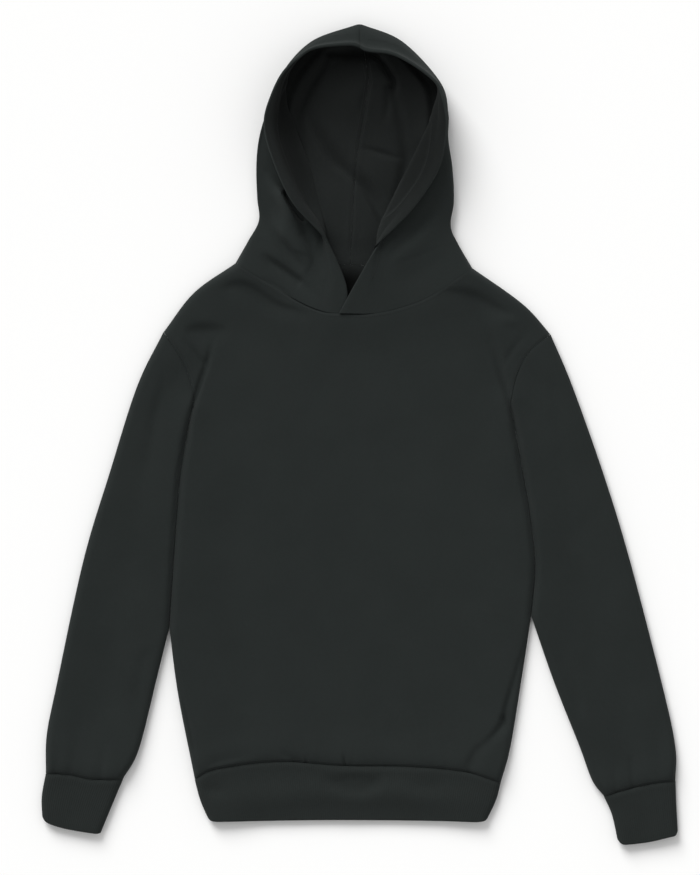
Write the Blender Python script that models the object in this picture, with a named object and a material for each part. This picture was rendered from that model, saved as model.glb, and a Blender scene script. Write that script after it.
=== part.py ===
"""Pullover hoodie laid flat on its back, sleeves down beside the body, hood up and open to the viewer.

The garment lies on the XY plane with its front to +Z and its hood to +Y. Left and right are the viewer's.
Every piece of cloth is a wall: its outer side is worked out on a grid, and its inner side lies a wall's
thickness behind it. Tables are in millimetres.
"""

import bpy
import numpy as np

MM = 0.001

# ---------------------------------------------------------------- driving dimensions, in millimetres
FLEECE = 2.2          # wall of the brushed fleece
RIB = 2.8             # wall of the rib knit, which is sewn on doubled
SEAM_GAP = 0.4        # room left between two pieces where they are sewn, measured along X or Y
FOLD_REACH = 9.0      # how far in from a folded edge the cloth has turned over
FOLD_MIDDLE = 5.4     # height of the outermost point of a folded edge
FOLD_TOP = 11.5       # height of the garment just inside a folded edge
SETTLED = 6.6         # height of the front where it has settled on the back
SETTLE_REACH = 70.0   # distance over which the front settles
NECK_LIFT = 5.0       # how much the hood lifts the front at the neck seam
NECK_REACH = 34.0     # how far that lift is felt
BLOUSE = 3.2          # how much the fleece puffs out over the rib
BLOUSE_REACH = 13.0   # distance of that puff from the rib's seam
LAP = 3.2             # step where the right side of the hood laps over the left
LAP_FROM = 40.0       # x where that step begins, on the way to the crossing
LAP_RUN = 60.0        # distance over which it rises
CROSSING = 4.0        # how far each front edge of the hood runs on past the crossing

# ---------------------------------------------------------------- outline of each seam and fold
LINES = {
    # body, from the hem seam up
    "hem seam": [(-206, -430), (-179, -417), (-103, -408), (-19, -413), (60, -414), (128, -420), (176, -434)],
    "side left": [(-206, -430), (-227, -324), (-238, -241)],
    "touch left": [(-238, -241), (-234, -181), (-229, -106), (-223, -41), (-210, 31)],
    "armhole left": [(-210, 31), (-208, 54), (-221, 91), (-245, 129)],
    "shoulder left": [(-245, 129), (-207, 178), (-155, 215)],
    "side right": [(176, -434), (188, -390), (202, -305), (214, -226)],
    "touch right": [(214, -226), (219, -165), (214, -109), (204, -48), (188, 41)],
    "armhole right": [(188, 41), (196, 76), (212, 104), (238, 126)],
    "shoulder right": [(238, 126), (214, 154), (189, 175), (140, 209)],
    # neck, from each shoulder to where the hood's edges cross
    "front neck left": [(-155, 215), (-87, 173), (-47, 155), (-20, 152)],
    "front neck right": [(140, 209), (88, 174), (50, 159), (15, 152), (-20, 152)],
    "back neck left": [(-155, 215), (-84, 212), (-12, 213)],
    "back neck right": [(140, 209), (64, 210), (-12, 213)],
    # sleeves, from the shoulder to the cuff seam
    "outer left": [(-245, 129), (-278, 61), (-312, -46), (-345, -156), (-379, -314), (-391, -375), (-392, -423)],
    "inner left": [(-238, -241), (-254, -306), (-276, -393), (-296, -430)],
    "cuff seam left": [(-392, -423), (-364, -424), (-334, -430), (-296, -430)],
    "outer right": [(238, 126), (265, 62), (305, -51), (337, -156), (379, -318), (394, -390), (394, -432)],
    "inner right": [(214, -226), (242, -307), (274, -388), (290, -431), (305, -451)],
    "cuff seam right": [(394, -432), (367, -435), (340, -441), (305, -451)],
    # rib ends
    "band left": [(-206, -430), (-199, -456), (-188, -481)],
    "band right": [(176, -434), (170, -456), (158, -481)],
    "band end": [(-188, -481), (-12, -479), (158, -481)],
    "cuff outer left": [(-392, -423), (-397, -452), (-396, -481)],
    "cuff inner left": [(-296, -430), (-307, -456), (-324, -497)],
    "cuff end left": [(-396, -481), (-364, -491), (-324, -497)],
    "cuff outer right": [(394, -432), (395, -462), (397, -497)],
    "cuff inner right": [(305, -451), (315, -474), (323, -510)],
    "cuff end right": [(397, -497), (360, -507), (323, -510)],
}

# ---------------------------------------------------------------- sections of the hood, neck to crown
# centre seam on the surface: x, y
HOOD_CENTRE = [
    (-12, 213), (-11, 236), (-9, 262), (-8, 290), (-6, 325), (-2, 360), (4, 395), (8, 420), (10, 436), (11, 446),
]
# folded outline x, y and height; front edge x, y and height; width of the front edge that flares outwards
HOOD_LEFT = [
    # fold x  fold y  fold z  rim x  rim y  rim z  flare
    (-155, 215, 5, -16, 153, 12, 0),
    (-139, 243, 7, -20, 193, 17, 4),
    (-126, 268, 8, -50, 246, 25, 15),
    (-128, 296, 9, -86, 290, 34, 32),
    (-129, 335, 12, -108, 340, 41, 36),
    (-124, 372, 16, -118, 384, 45, 22),
    (-113, 410, 18, -111, 419, 47, 5),
    (-95, 452, 18, -92, 456, 47, 0),
    (-58, 491, 17, -58, 482, 44, 0),
    (0, 512, 16, 0, 484, 40, 0),
]
HOOD_RIGHT = [
    (140, 209, 5, -24, 153, 15, 0),
    (122, 240, 7, -2, 193, 21, 6),
    (113, 262, 8, 28, 243, 27, 17),
    (117, 292, 9, 66, 284, 35, 30),
    (115, 331, 12, 96, 330, 41, 37),
    (109, 370, 16, 106, 374, 45, 27),
    (109, 402, 18, 105, 406, 47, 12),
    (99, 440, 18, 96, 440, 47, 0),
    (52, 490, 17, 46, 474, 44, 0),
    (0, 512, 16, 0, 484, 40, 0),
]
HOOD_ROWS = 14            # rows of faces from the neck seam to the crown
FULL_FLARE = 37.0         # widest flare of the front edge
FLARE_RISE = 13.0         # height of the front edge over its roll line where it flares fully
FLOOR_END = 14.0          # how far inside the fold the hood leaves the surface, low down
WALL_FOOT = 42.0          # the same for the upper hood, whose sides stand up
NECK_PULL = 0.3           # share of the hood's height over which it is drawn on to the neck seam
LYING_FOLD = 9.0          # height of the fold where the hood's side lies down
STANDING_FOLD = 16.0      # height of the fold where it stands up
ROLL_IN = 0.3             # unflared roll line: share of the way from the front edge back to the fold
ROLL_DROP = 0.35          # the same in height
BULGE = (0.45, 0.72)      # fullest point of the side: shares of the way and of the height, fold to roll
HEEL = (0.29, 0.27)       # turn at the surface: share of the way, fold to foot, and of the fold's height
BROW = 0.10               # first point above the fold: share of the way from the fold to the fullest point

# ---------------------------------------------------------------- largest folds pressed into the front
FOLDS = [
    # x from, y from, x to, y to, depth, half width
    (108, 181, 186, 153, 1.4, 9.0),       # spindle across the right shoulder
    (-214, 134, -180, 134, 1.4, 9.0),     # hollow inside the left shoulder
    (-216, 84, -187, 104, 1.2, 7.0),      # fold of the left armhole
    (-187, 104, -210, 34, 1.6, 7.0),      # groove that runs on from the left sleeve
    (160, 150, 188, 44, 1.6, 8.0),        # groove that runs on from the right sleeve
    (194, -270, 182, -345, 1.4, 7.0),     # side fold low on the right
    (182, -345, 135, -412, 1.4, 8.0),     # the same fold, turning to the hem seam
    (-160, 187, -84, 160, 1.2, 9.0),      # fold under the left of the neck seam
]

# ---------------------------------------------------------------- where the grid lines run
EDGE = [0.0, 0.0050, 0.0225]              # shares of the width where a folded side turns over
SHOULDER = [0.11, 0.19]
NECK_AT = 0.27                            # share of the upper edge where the neck begins
NECK = np.array([0.0, 0.03, 0.10, 0.22, 0.38, 0.54, 0.70, 0.85, 1.0])
HEM_ROWS = [0.0, 0.05, 0.14, 0.42, 0.71, 1.0]
TOUCH_ROWS = np.linspace(0.0, 1.0, 7)
SLEEVE_LOW = np.linspace(0.0, 1.0, 6)
SLEEVE_COLUMNS = np.array([0.0, 0.02, 0.085, 0.29, 0.5, 0.71, 0.915, 0.98, 1.0])
CUFF_ROWS = [0.0, 0.5, 1.0]

COLOUR = {"fleece": (0.021, 0.023, 0.022, 1.0), "rib": (0.018, 0.020, 0.019, 1.0)}


def clear_scene():
    for old in list(bpy.data.objects):
        bpy.data.objects.remove(old, do_unlink=True)


def cloth_material(name):
    """A matt cloth finish."""
    material = bpy.data.materials.new(name)
    material.use_nodes = True
    shader = material.node_tree.nodes["Principled BSDF"]
    shader.inputs["Base Color"].default_value = COLOUR[name]
    shader.inputs["Roughness"].default_value = 0.95
    shader.inputs["Metallic"].default_value = 0.0
    return material


# ---------------------------------------------------------------- curves and patches
def dense(points, steps=24):
    """A smooth curve through the points (Catmull-Rom), with steps pieces between two points."""
    p = np.array(points, float)
    if len(p) == 2:
        p = np.array([p[0], (p[0] + p[1]) / 2, p[1]])
    p = np.vstack([2 * p[0] - p[1], p, 2 * p[-1] - p[-2]])
    a, b, c, d = p[:-3, None], p[1:-2, None], p[2:-1, None], p[3:, None]
    t = np.linspace(0, 1, steps, endpoint=False)[None, :, None]
    pieces = 0.5 * (2 * b + (c - a) * t + (2 * a - 5 * b + 4 * c - d) * t**2 + (3 * b - a - 3 * c + d) * t**3)
    return np.vstack([pieces.reshape(-1, p.shape[1]), p[-2]])


def along(path, shares):
    """Points of a dense path at the given shares of its length."""
    length = np.concatenate([[0.0], np.cumsum(np.linalg.norm(np.diff(path, axis=0), axis=1))])
    wanted = np.asarray(shares) * length[-1]
    return np.stack([np.interp(wanted, length, path[:, i]) for i in range(path.shape[1])], axis=1)


def line(name, shares):
    """Points of a named seam or fold at the given shares of its length."""
    return along(dense(LINES[name]), shares)


def chain(*stretches):
    """Stretches that follow each other, without the doubled points."""
    return np.vstack([stretches[0]] + [stretch[1:] for stretch in stretches[1:]])


def shares_of(path):
    """Share of the length that each point of a path lies at."""
    length = np.concatenate([[0.0], np.cumsum(np.linalg.norm(np.diff(path, axis=0), axis=1))])
    return length / length[-1]


def quilt(start, end, side_a, side_b):
    """Fill four edges (a Coons patch): both rulings added, less the bilinear patch of the corners."""
    s = shares_of(start)[None, :, None]
    t = shares_of(side_a)[:, None, None]
    ruled = (1 - t) * start[None] + t * end[None] + (1 - s) * side_a[:, None] + s * side_b[:, None]
    corners = (1 - t) * ((1 - s) * start[0] + s * start[-1]) + t * ((1 - s) * end[0] + s * end[-1])
    return ruled - corners


def distance(plan, path):
    """Distance in plan from each point to a path of straight pieces."""
    flat = plan.reshape(-1, 1, 2)
    a, step = path[None, :-1], np.diff(path, axis=0)[None]
    share = ((flat - a) * step).sum(2) / np.maximum((step**2).sum(2), 1e-9)
    near = a + np.clip(share, 0, 1)[..., None] * step
    return np.linalg.norm(flat - near, axis=2).min(1).reshape(plan.shape[:-1])


# ---------------------------------------------------------------- heights of the lying garment
FOLDED_EDGES = [
    np.vstack([dense(LINES["outer left"])[::-1], dense(LINES["shoulder left"])]),
    np.vstack([dense(LINES["outer right"])[::-1], dense(LINES["shoulder right"])]),
    np.vstack([dense(LINES["side left"]), dense(LINES["touch left"])]),
    np.vstack([dense(LINES["side right"]), dense(LINES["touch right"])]),
    np.vstack([dense(LINES["inner left"]), dense(LINES["cuff inner left"])]),
    np.vstack([dense(LINES["inner right"]), dense(LINES["cuff inner right"])]),
    dense(LINES["cuff outer left"]),
    dense(LINES["cuff outer right"]),
    dense(LINES["band left"]),
    dense(LINES["band right"]),
]
RIB_SEAMS = [dense(LINES["hem seam"]), dense(LINES["cuff seam left"]), dense(LINES["cuff seam right"])]
NECK_SEAM = np.vstack([dense(LINES["front neck left"]), dense(LINES["front neck right"])[::-1]])


def turned(plan):
    """0 on a folded edge, rising along a quarter circle to 1 where the cloth has turned over."""
    inwards = np.min([distance(plan, edge) for edge in FOLDED_EDGES], axis=0)
    return np.sqrt(1 - (1 - np.clip(inwards / FOLD_REACH, 0, 1)) ** 2), inwards


def upper(plan, puff=True):
    """Height of the garment's upper side: the turn of its edges, the settling, the neck, the rib, the folds."""
    turn, inwards = turned(plan)
    settle = np.clip((inwards - FOLD_REACH) / SETTLE_REACH, 0, 1)
    z = FOLD_MIDDLE + (FOLD_TOP - FOLD_MIDDLE) * turn
    z -= (FOLD_TOP - SETTLED) * settle**2 * (3 - 2 * settle)
    z += turn * NECK_LIFT * np.exp(-((distance(plan, NECK_SEAM) / NECK_REACH) ** 2))
    if puff:
        away = np.min([distance(plan, seam) for seam in RIB_SEAMS], axis=0) / BLOUSE_REACH
        z += turn * BLOUSE * away * np.exp(1 - away)
        for x0, y0, x1, y1, depth, half_width in FOLDS:
            off = distance(plan, np.array([(x0, y0), (x1, y1)], float))
            z -= turn * depth * np.exp(-((off / half_width) ** 2))
    return z


def lower(plan):
    """Height of the garment's underside: on the surface, and up to the middle at its folded edges."""
    turn, _ = turned(plan)
    return FOLD_MIDDLE * (1 - turn)


# ---------------------------------------------------------------- meshes
def facing(grid, closed):
    """The grid's unit normals, from the differences between its rows and between its columns."""
    ring = np.concatenate([grid[:, -1:], grid, grid[:, :1]], axis=1) if closed else grid
    over = np.gradient(ring, axis=1)
    over = over[:, 1:-1] if closed else over
    normal = np.cross(np.gradient(grid, axis=0), over)
    return normal / np.linalg.norm(normal, axis=2, keepdims=True)


def square_off(normal, rows, columns, seam):
    """Take out of the normals on a seam what points across it, so that the wall ends square to the seam."""
    along_seam = np.gradient(seam[..., :2], axis=0)
    across = np.stack([-along_seam[:, 1], along_seam[:, 0], np.zeros(len(seam))], axis=1)
    across /= np.linalg.norm(across, axis=1, keepdims=True)
    edge = normal[rows, columns]
    edge = edge - (edge * across).sum(1, keepdims=True) * across
    normal[rows, columns] = edge / np.linalg.norm(edge, axis=1, keepdims=True)


def cloth(name, outside, inside, closed, flip, material, collection):
    """A wall of cloth between two grids, with a strip of faces along each open edge."""
    rows, columns = outside.shape[:2]
    numbers = np.arange(rows * columns).reshape(rows, columns)
    if closed:
        numbers = np.hstack([numbers, numbers[:, :1]])
    skin = quads(numbers)
    lining = quads(numbers + rows * columns)[:, ::-1]
    edges = [numbers[0, ::-1], numbers[-1]]
    if not closed:
        edges += [numbers[:, 0], numbers[::-1, -1]]
    rims = [quads(np.stack([edge, edge + rows * columns])) for edge in edges]
    faces = np.vstack([skin, lining] + rims)
    if flip:
        faces = faces[:, ::-1]
    points = np.vstack([outside.reshape(-1, 3), inside.reshape(-1, 3)]) * MM
    mesh = bpy.data.meshes.new(name)
    mesh.from_pydata(points.tolist(), [], faces.tolist())
    mesh.shade_smooth()
    mesh.set_sharp_from_angle(angle=np.radians(50))
    mesh.materials.append(material)
    piece = bpy.data.objects.new(name, mesh)
    collection.objects.link(piece)
    return piece


def quads(numbers):
    """Four-cornered faces between neighbouring rows and columns of point numbers."""
    corners = [numbers[1:, :-1], numbers[1:, 1:], numbers[:-1, 1:], numbers[:-1, :-1]]
    return np.stack(corners, axis=-1).reshape(-1, 4)


def lift(plan, height):
    """A plan and its heights as one grid of points."""
    return np.concatenate([plan, height[..., None]], axis=-1)


def make_tube(name, plan, puff, outwards, wall, material, collection):
    """A flattened tube over the plan and back under it, both ends cut square to their seams."""
    over = lift(plan, upper(plan, puff))
    under = lift(plan, lower(plan))[:, ::-1]
    outside = np.concatenate([over, under[:, 1:-1]], axis=1)
    normal = outwards * facing(outside, True)
    columns = plan.shape[1]
    for row in (0, -1):
        square_off(normal, row, slice(0, columns), plan[row])
        square_off(normal, row, slice(columns, None), plan[row, -2:0:-1])
    cloth(name, outside, outside - wall * normal, True, outwards < 0, material, collection)


# ---------------------------------------------------------------- body
BODY_COLUMNS = np.array(EDGE + SHOULDER)
NECK_FROM = len(BODY_COLUMNS) + 1


def body_top(neck_kind):
    """The body's upper edge, from the left shoulder point over the neck to the right one."""
    tips = BODY_COLUMNS / NECK_AT
    left = line("shoulder left", np.append(tips, 1.0))
    right = line("shoulder right", np.append(tips, 1.0))
    neck_left = line(neck_kind + " neck left", NECK)
    neck_right = line(neck_kind + " neck right", NECK)
    return chain(left, neck_left, neck_right[::-1], right[::-1])


def body_side(side):
    """One side of the body, from the hem seam past the sleeve to the shoulder point."""
    return chain(
        line("side " + side, HEM_ROWS), line("touch " + side, TOUCH_ROWS), line("armhole " + side, SLEEVE_COLUMNS)
    )


def body_plan(neck_kind):
    top = body_top(neck_kind)
    hem = line("hem seam", hem_shares())
    return quilt(hem, top, body_side("left"), body_side("right"))


def hem_shares():
    """Where the body's grid lines meet the hem seam: close together at the sides, even between."""
    middle = len(NECK) * 2 - 1 + len(BODY_COLUMNS) * 2
    even = np.linspace(EDGE[-1], 1 - EDGE[-1], middle - 2 * (len(EDGE) - 1))
    return np.concatenate([EDGE[:-1], even, 1 - np.array(EDGE[:-1])[::-1]])


def make_panel(name, plan, height, up, fleece, collection):
    """The front (up = 1) or the back (up = -1): level normals on the folded edges, square cuts at the seams."""
    outside = lift(plan, height)
    normal = -facing(outside, False)
    normal *= up * np.sign(normal[..., 2:].mean())
    folded = turned(plan)[0] < 0.01
    normal[folded, 2] = 0
    normal /= np.linalg.norm(normal, axis=2, keepdims=True)
    for corner, beside in ((NECK_FROM - 1, NECK_FROM), (-NECK_FROM, -NECK_FROM - 1)):
        way = outside[-1, corner] - outside[-1, beside]
        way[2] = 0
        normal[-1, corner] = way / np.linalg.norm(way)
    neck = slice(NECK_FROM, -NECK_FROM)
    armhole = slice(-len(SLEEVE_COLUMNS) + 1, -1)
    square_off(normal, 0, slice(None), outside[0])
    square_off(normal, -1, neck, outside[-1, neck])
    square_off(normal, armhole, 0, outside[armhole, 0])
    square_off(normal, armhole, -1, outside[armhole, -1])
    cloth(name, outside, outside - FLEECE * normal, False, up > 0, fleece, collection)


def make_body(fleece, collection):
    front = body_plan("front")
    back = body_plan("back")
    front_height = np.maximum(upper(front), FOLD_MIDDLE + SEAM_GAP / 2)
    back_height = np.minimum(lower(back), FOLD_MIDDLE - SEAM_GAP / 2)
    make_panel("front_body", front, front_height, 1, fleece, collection)
    make_panel("back_body", back, back_height, -1, fleece, collection)


# ---------------------------------------------------------------- sleeves and ribs
def make_sleeve(side, fleece, collection):
    sign = -1 if side == "left" else 1
    inner = chain(line("touch " + side, TOUCH_ROWS)[::-1], line("inner " + side, SLEEVE_LOW))
    outer = line("outer " + side, shares_of(inner))
    armhole = line("armhole " + side, 1 - SLEEVE_COLUMNS)
    plan = quilt(armhole, line("cuff seam " + side, SLEEVE_COLUMNS), outer, inner)
    plan = plan + np.array([sign * SEAM_GAP, 0])
    make_tube("sleeve_" + side, plan, True, -sign, FLEECE, fleece, collection)


def make_cuff(side, rib, collection):
    sign = -1 if side == "left" else 1
    outer = line("cuff outer " + side, CUFF_ROWS)
    inner = line("cuff inner " + side, CUFF_ROWS)
    seam = line("cuff seam " + side, SLEEVE_COLUMNS)
    end = line("cuff end " + side, SLEEVE_COLUMNS)
    plan = quilt(seam, end, outer, inner) + np.array([sign * SEAM_GAP, -SEAM_GAP])
    make_tube("cuff_" + side, plan, False, -sign, RIB, rib, collection)


def make_band(rib, collection):
    seam = line("hem seam", hem_shares())
    end = line("band end", hem_shares())
    plan = quilt(seam, end, line("band left", CUFF_ROWS), line("band right", CUFF_ROWS))
    plan = plan - np.array([0, SEAM_GAP])
    make_tube("hem_band", plan, False, 1, RIB, rib, collection)


# ---------------------------------------------------------------- hood
def hood_section(centre, row):
    """One section, from the centre seam along the surface, up round the fold and over to the front edge."""
    fold, rim, flare = np.array(row[:3], float), np.array(row[3:6], float), row[6]
    seam = np.array([*centre, 0.0])
    share = flare / FULL_FLARE
    stands = np.clip((fold[2] - LYING_FOLD) / (STANDING_FOLD - LYING_FOLD), 0, 1)
    inwards = (seam - rim) * (1, 1, 0)
    inwards /= np.linalg.norm(inwards)
    foot_way = (seam - fold) * (1, 1, 0)
    foot_way /= np.linalg.norm(foot_way)
    foot = fold * (1, 1, 0) + foot_way * (FLOOR_END + (WALL_FOOT - FLOOR_END) * stands)
    roll = rim + flare * inwards + ROLL_IN * (1 - share) * (fold - rim) * (1, 1, 0)
    roll[2] = rim[2] - share * FLARE_RISE - (1 - share) * ROLL_DROP * (rim[2] - fold[2])
    bulge = fold + BULGE[0] * (roll - fold)
    bulge[2] = fold[2] + BULGE[1] * (roll[2] - fold[2])
    heel = fold + HEEL[0] * (foot - fold) * (1, 1, 0)
    heel[2] = HEEL[1] * fold[2]
    brow = fold + BROW * (bulge - fold)
    brow[2] = (fold[2] + bulge[2]) / 2
    steps = 16
    path = dense([seam, (seam + foot) / 2, foot, heel, fold, brow, bulge, roll, rim], steps)
    path[:, 2] = np.maximum(path[:, 2], 0)
    turn = 4 * steps
    return np.vstack([along(path[: turn + 1], 1 - NECK[::-1]), along(path[turn:], NECK)[1:]])


def neck_row(side):
    """The hood's seam with the body: under along the back neck, then over along the front neck."""
    under = line("back neck " + side, NECK)[::-1]
    over = line("front neck " + side, NECK)
    way = over[-1] - over[-2]
    over[-1] += CROSSING * way / np.linalg.norm(way)
    height = upper(over)
    if side == "right":
        height += LAP * np.clip((LAP_FROM - over[:, 0]) / LAP_RUN, 0, 1)
    height[0] = FOLD_MIDDLE
    return np.vstack([lift(under, lower(under)), lift(over, height)[1:]])


def make_hood(side, table, fleece, collection):
    sections = np.array([hood_section(centre, row) for centre, row in zip(HOOD_CENTRE, table)])
    rows = np.linspace(0, 1, HOOD_ROWS + 1)
    fine = dense(sections.reshape(len(sections), -1), 12)
    place = np.linspace(0, 1, len(fine))
    flat = np.stack([np.interp(rows, place, column) for column in fine.T], axis=1)
    grid = flat.reshape(len(rows), -1, 3)
    pull = np.clip(1 - rows / NECK_PULL, 0, 1)[:, None, None] ** 2
    grid = grid + pull * (neck_row(side) - grid[0])[None]
    grid[..., 2] = np.maximum(grid[..., 2], 0)
    sign = -1 if side == "left" else 1
    outside = grid + np.array([sign * SEAM_GAP / 2, SEAM_GAP, 0])
    normal = sign * facing(outside, False)
    fold = len(NECK) - 1
    square_off(normal, 0, slice(0, fold), outside[0, :fold])
    square_off(normal, 0, slice(fold + 1, None), outside[0, fold + 1 :])
    normal[0, fold] = (sign, 0, 0)
    square_off(normal, slice(None), 0, outside[:, 0])
    normal[-1, :, 0] = 0
    normal[-1] /= np.linalg.norm(normal[-1], axis=1, keepdims=True)
    normal[outside[..., 2] < 0.01] = (0, 0, -1)
    cloth("hood_" + side, outside, outside - FLEECE * normal, False, side == "left", fleece, collection)


# ---------------------------------------------------------------- the garment
def main():
    clear_scene()
    collection = bpy.data.collections.new("pullover_hoodie")
    bpy.context.scene.collection.children.link(collection)
    fleece = cloth_material("fleece")
    rib = cloth_material("rib")
    make_body(fleece, collection)
    make_band(rib, collection)
    for side in ("left", "right"):
        make_sleeve(side, fleece, collection)
        make_cuff(side, rib, collection)
    make_hood("left", HOOD_LEFT, fleece, collection)
    make_hood("right", HOOD_RIGHT, fleece, collection)


main()
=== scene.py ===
"""Looks of a pullover hoodie in brushed fleece, laid flat on its back with its hood up and open.

The sections follow the garment as it is made up: body, hem rib, sleeves, cuffs, hood, stitching. Every piece is a
wall of cloth whose outer and inner sides are worked out on a grid. The garment's tables and sizes are in
millimetres, those of the floor, lamp, camera and finishes in metres.
"""

import bpy
import numpy as np
from mathutils.bvhtree import BVHTree
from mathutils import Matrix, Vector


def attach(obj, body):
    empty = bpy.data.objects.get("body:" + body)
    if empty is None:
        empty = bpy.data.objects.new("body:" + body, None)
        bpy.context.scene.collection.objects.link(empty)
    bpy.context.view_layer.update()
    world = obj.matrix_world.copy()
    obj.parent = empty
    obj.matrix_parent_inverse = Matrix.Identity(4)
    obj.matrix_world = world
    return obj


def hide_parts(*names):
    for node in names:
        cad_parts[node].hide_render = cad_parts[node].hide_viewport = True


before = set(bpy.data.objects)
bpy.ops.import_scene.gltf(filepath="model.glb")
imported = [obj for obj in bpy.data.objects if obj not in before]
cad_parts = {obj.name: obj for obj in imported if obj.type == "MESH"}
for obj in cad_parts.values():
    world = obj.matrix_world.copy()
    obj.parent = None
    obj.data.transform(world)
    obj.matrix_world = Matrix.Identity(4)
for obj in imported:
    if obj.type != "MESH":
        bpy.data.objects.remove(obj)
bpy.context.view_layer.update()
MM = 0.001
SIDES = (("left", -1), ("right", 1))    # the viewer's, and the sign of x on each

# ---------------------------------------------------------------- floor, lamp and camera
# The garment lies on a plain pale floor. A large soft lamp stands at the upper left and the pale room
# around gives the rest of the light. The camera looks straight down, far off, so that nothing leans.
FRAME_MIDDLE = (-0.01225, -0.0029)    # point of the floor in the middle of the picture
FRAME_HEIGHT = 1.09375                # stretch of floor that the picture's height takes in
CAMERA_HEIGHT = 10.0
SENSOR = 36.0
ROOM_LIGHT = 0.61
LAMP_LIGHT = 3.05
LAMP_FROM = (-0.42, 0.84, 0.60)
LAMP_SPREAD = np.radians(36)
FLOOR_HALF = 15.0
FLOOR_TOP = -0.0004                   # just under the cloth, so that the two don't share a plane


def placed(name, data):
    """A new object in the scene."""
    new = bpy.data.objects.new(name, data)
    bpy.context.scene.collection.objects.link(new)
    return new


def set_inputs(tree, node, values):
    """Set sockets of a node that is already in the tree."""
    for name, value in values.items():
        tree.nodes[node].inputs[name].default_value = value


floor_mesh = bpy.data.meshes.new("floor")
corners = [(x * FLOOR_HALF, y * FLOOR_HALF, FLOOR_TOP) for x, y in ((-1, -1), (1, -1), (1, 1), (-1, 1))]
floor_mesh.from_pydata(corners, [], [(0, 1, 2, 3)])
floor = placed("floor", floor_mesh)
floor_paint = bpy.data.materials.new("floor_paint")
floor_paint.use_nodes = True
set_inputs(floor_paint.node_tree, "Principled BSDF", {
    "Base Color": (0.88, 0.88, 0.875, 1), "Roughness": 0.9, "Specular IOR Level": 0.2})
floor_mesh.materials.append(floor_paint)

room = bpy.data.worlds.new("room")
room.use_nodes = True
set_inputs(room.node_tree, "Background", {"Color": (1, 1, 1, 1), "Strength": ROOM_LIGHT})
bpy.context.scene.world = room

lamp = placed("lamp", bpy.data.lights.new("lamp", "SUN"))
lamp.data.energy = LAMP_LIGHT
lamp.data.angle = LAMP_SPREAD
lamp.rotation_euler = Vector(LAMP_FROM).to_track_quat("Z", "Y").to_euler()

camera = placed("camera", bpy.data.cameras.new("camera"))
camera.data.sensor_width = SENSOR
camera.data.lens = SENSOR * CAMERA_HEIGHT / FRAME_HEIGHT
camera.data.clip_end = 100.0
camera.location = (*FRAME_MIDDLE, CAMERA_HEIGHT)
bpy.context.scene.camera = camera
bpy.context.scene.view_settings.view_transform = "Standard"
bpy.context.scene.view_settings.look = "None"

# ---------------------------------------------------------------- body
# Front and back are cut from fleece knit, smooth outside and brushed inside, and joined along the sides and
# shoulders. Laid down, the front settles on the back and stays fuller at the folds and above the hem rib.
FLEECE = 2.2          # wall of the fleece
GAP = 0.2             # room left between two pieces where they are sewn
FOLD_REACH = 9.0      # how far in from a folded edge the cloth has turned over
FOLD_MIDDLE = 5.4     # height of the outermost point of a folded edge
FOLD_TOP = 11.5       # height of the garment just inside a folded edge
SETTLED = 7.6         # height of the front where it has settled on the back
SETTLE_REACH = 70.0   # distance over which the front settles
NECK_LIFT = 5.0       # how much the hood lifts the front at the neck seam
NECK_REACH = 34.0     # how far that lift is felt
BLOUSE = 3.2          # how much the fleece puffs out over the rib
BLOUSE_REACH = 13.0   # distance of that puff from the rib's seam
SEAM_DEPTH = 1.0      # how far a rib's seam draws the cloth down
NECK_DEPTH = 0.5      # the same for the neck seam
ARMHOLE_DEPTH = 0.45  # and for the armholes
SEAM_WIDTH = 1.7      # half width of those grooves
RIB_BEAD = (0.5, 5.5, 3.0)    # roll of the rib beside its seam: height, distance and half width
PUCKER_PITCH = 17.0   # gathers along a rib's seam
PUCKER_REACH = 9.0    # how far they run into the fleece
CREASE_GAIN = 1.4     # the fleece's creases are this much deeper than their table says
THINNEST = 4.8        # least height of the front over the floor in a crease
CELL = 2.9            # grid cell of the fleece
FAR = 82.0            # beyond this no seam or fold is felt

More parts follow.
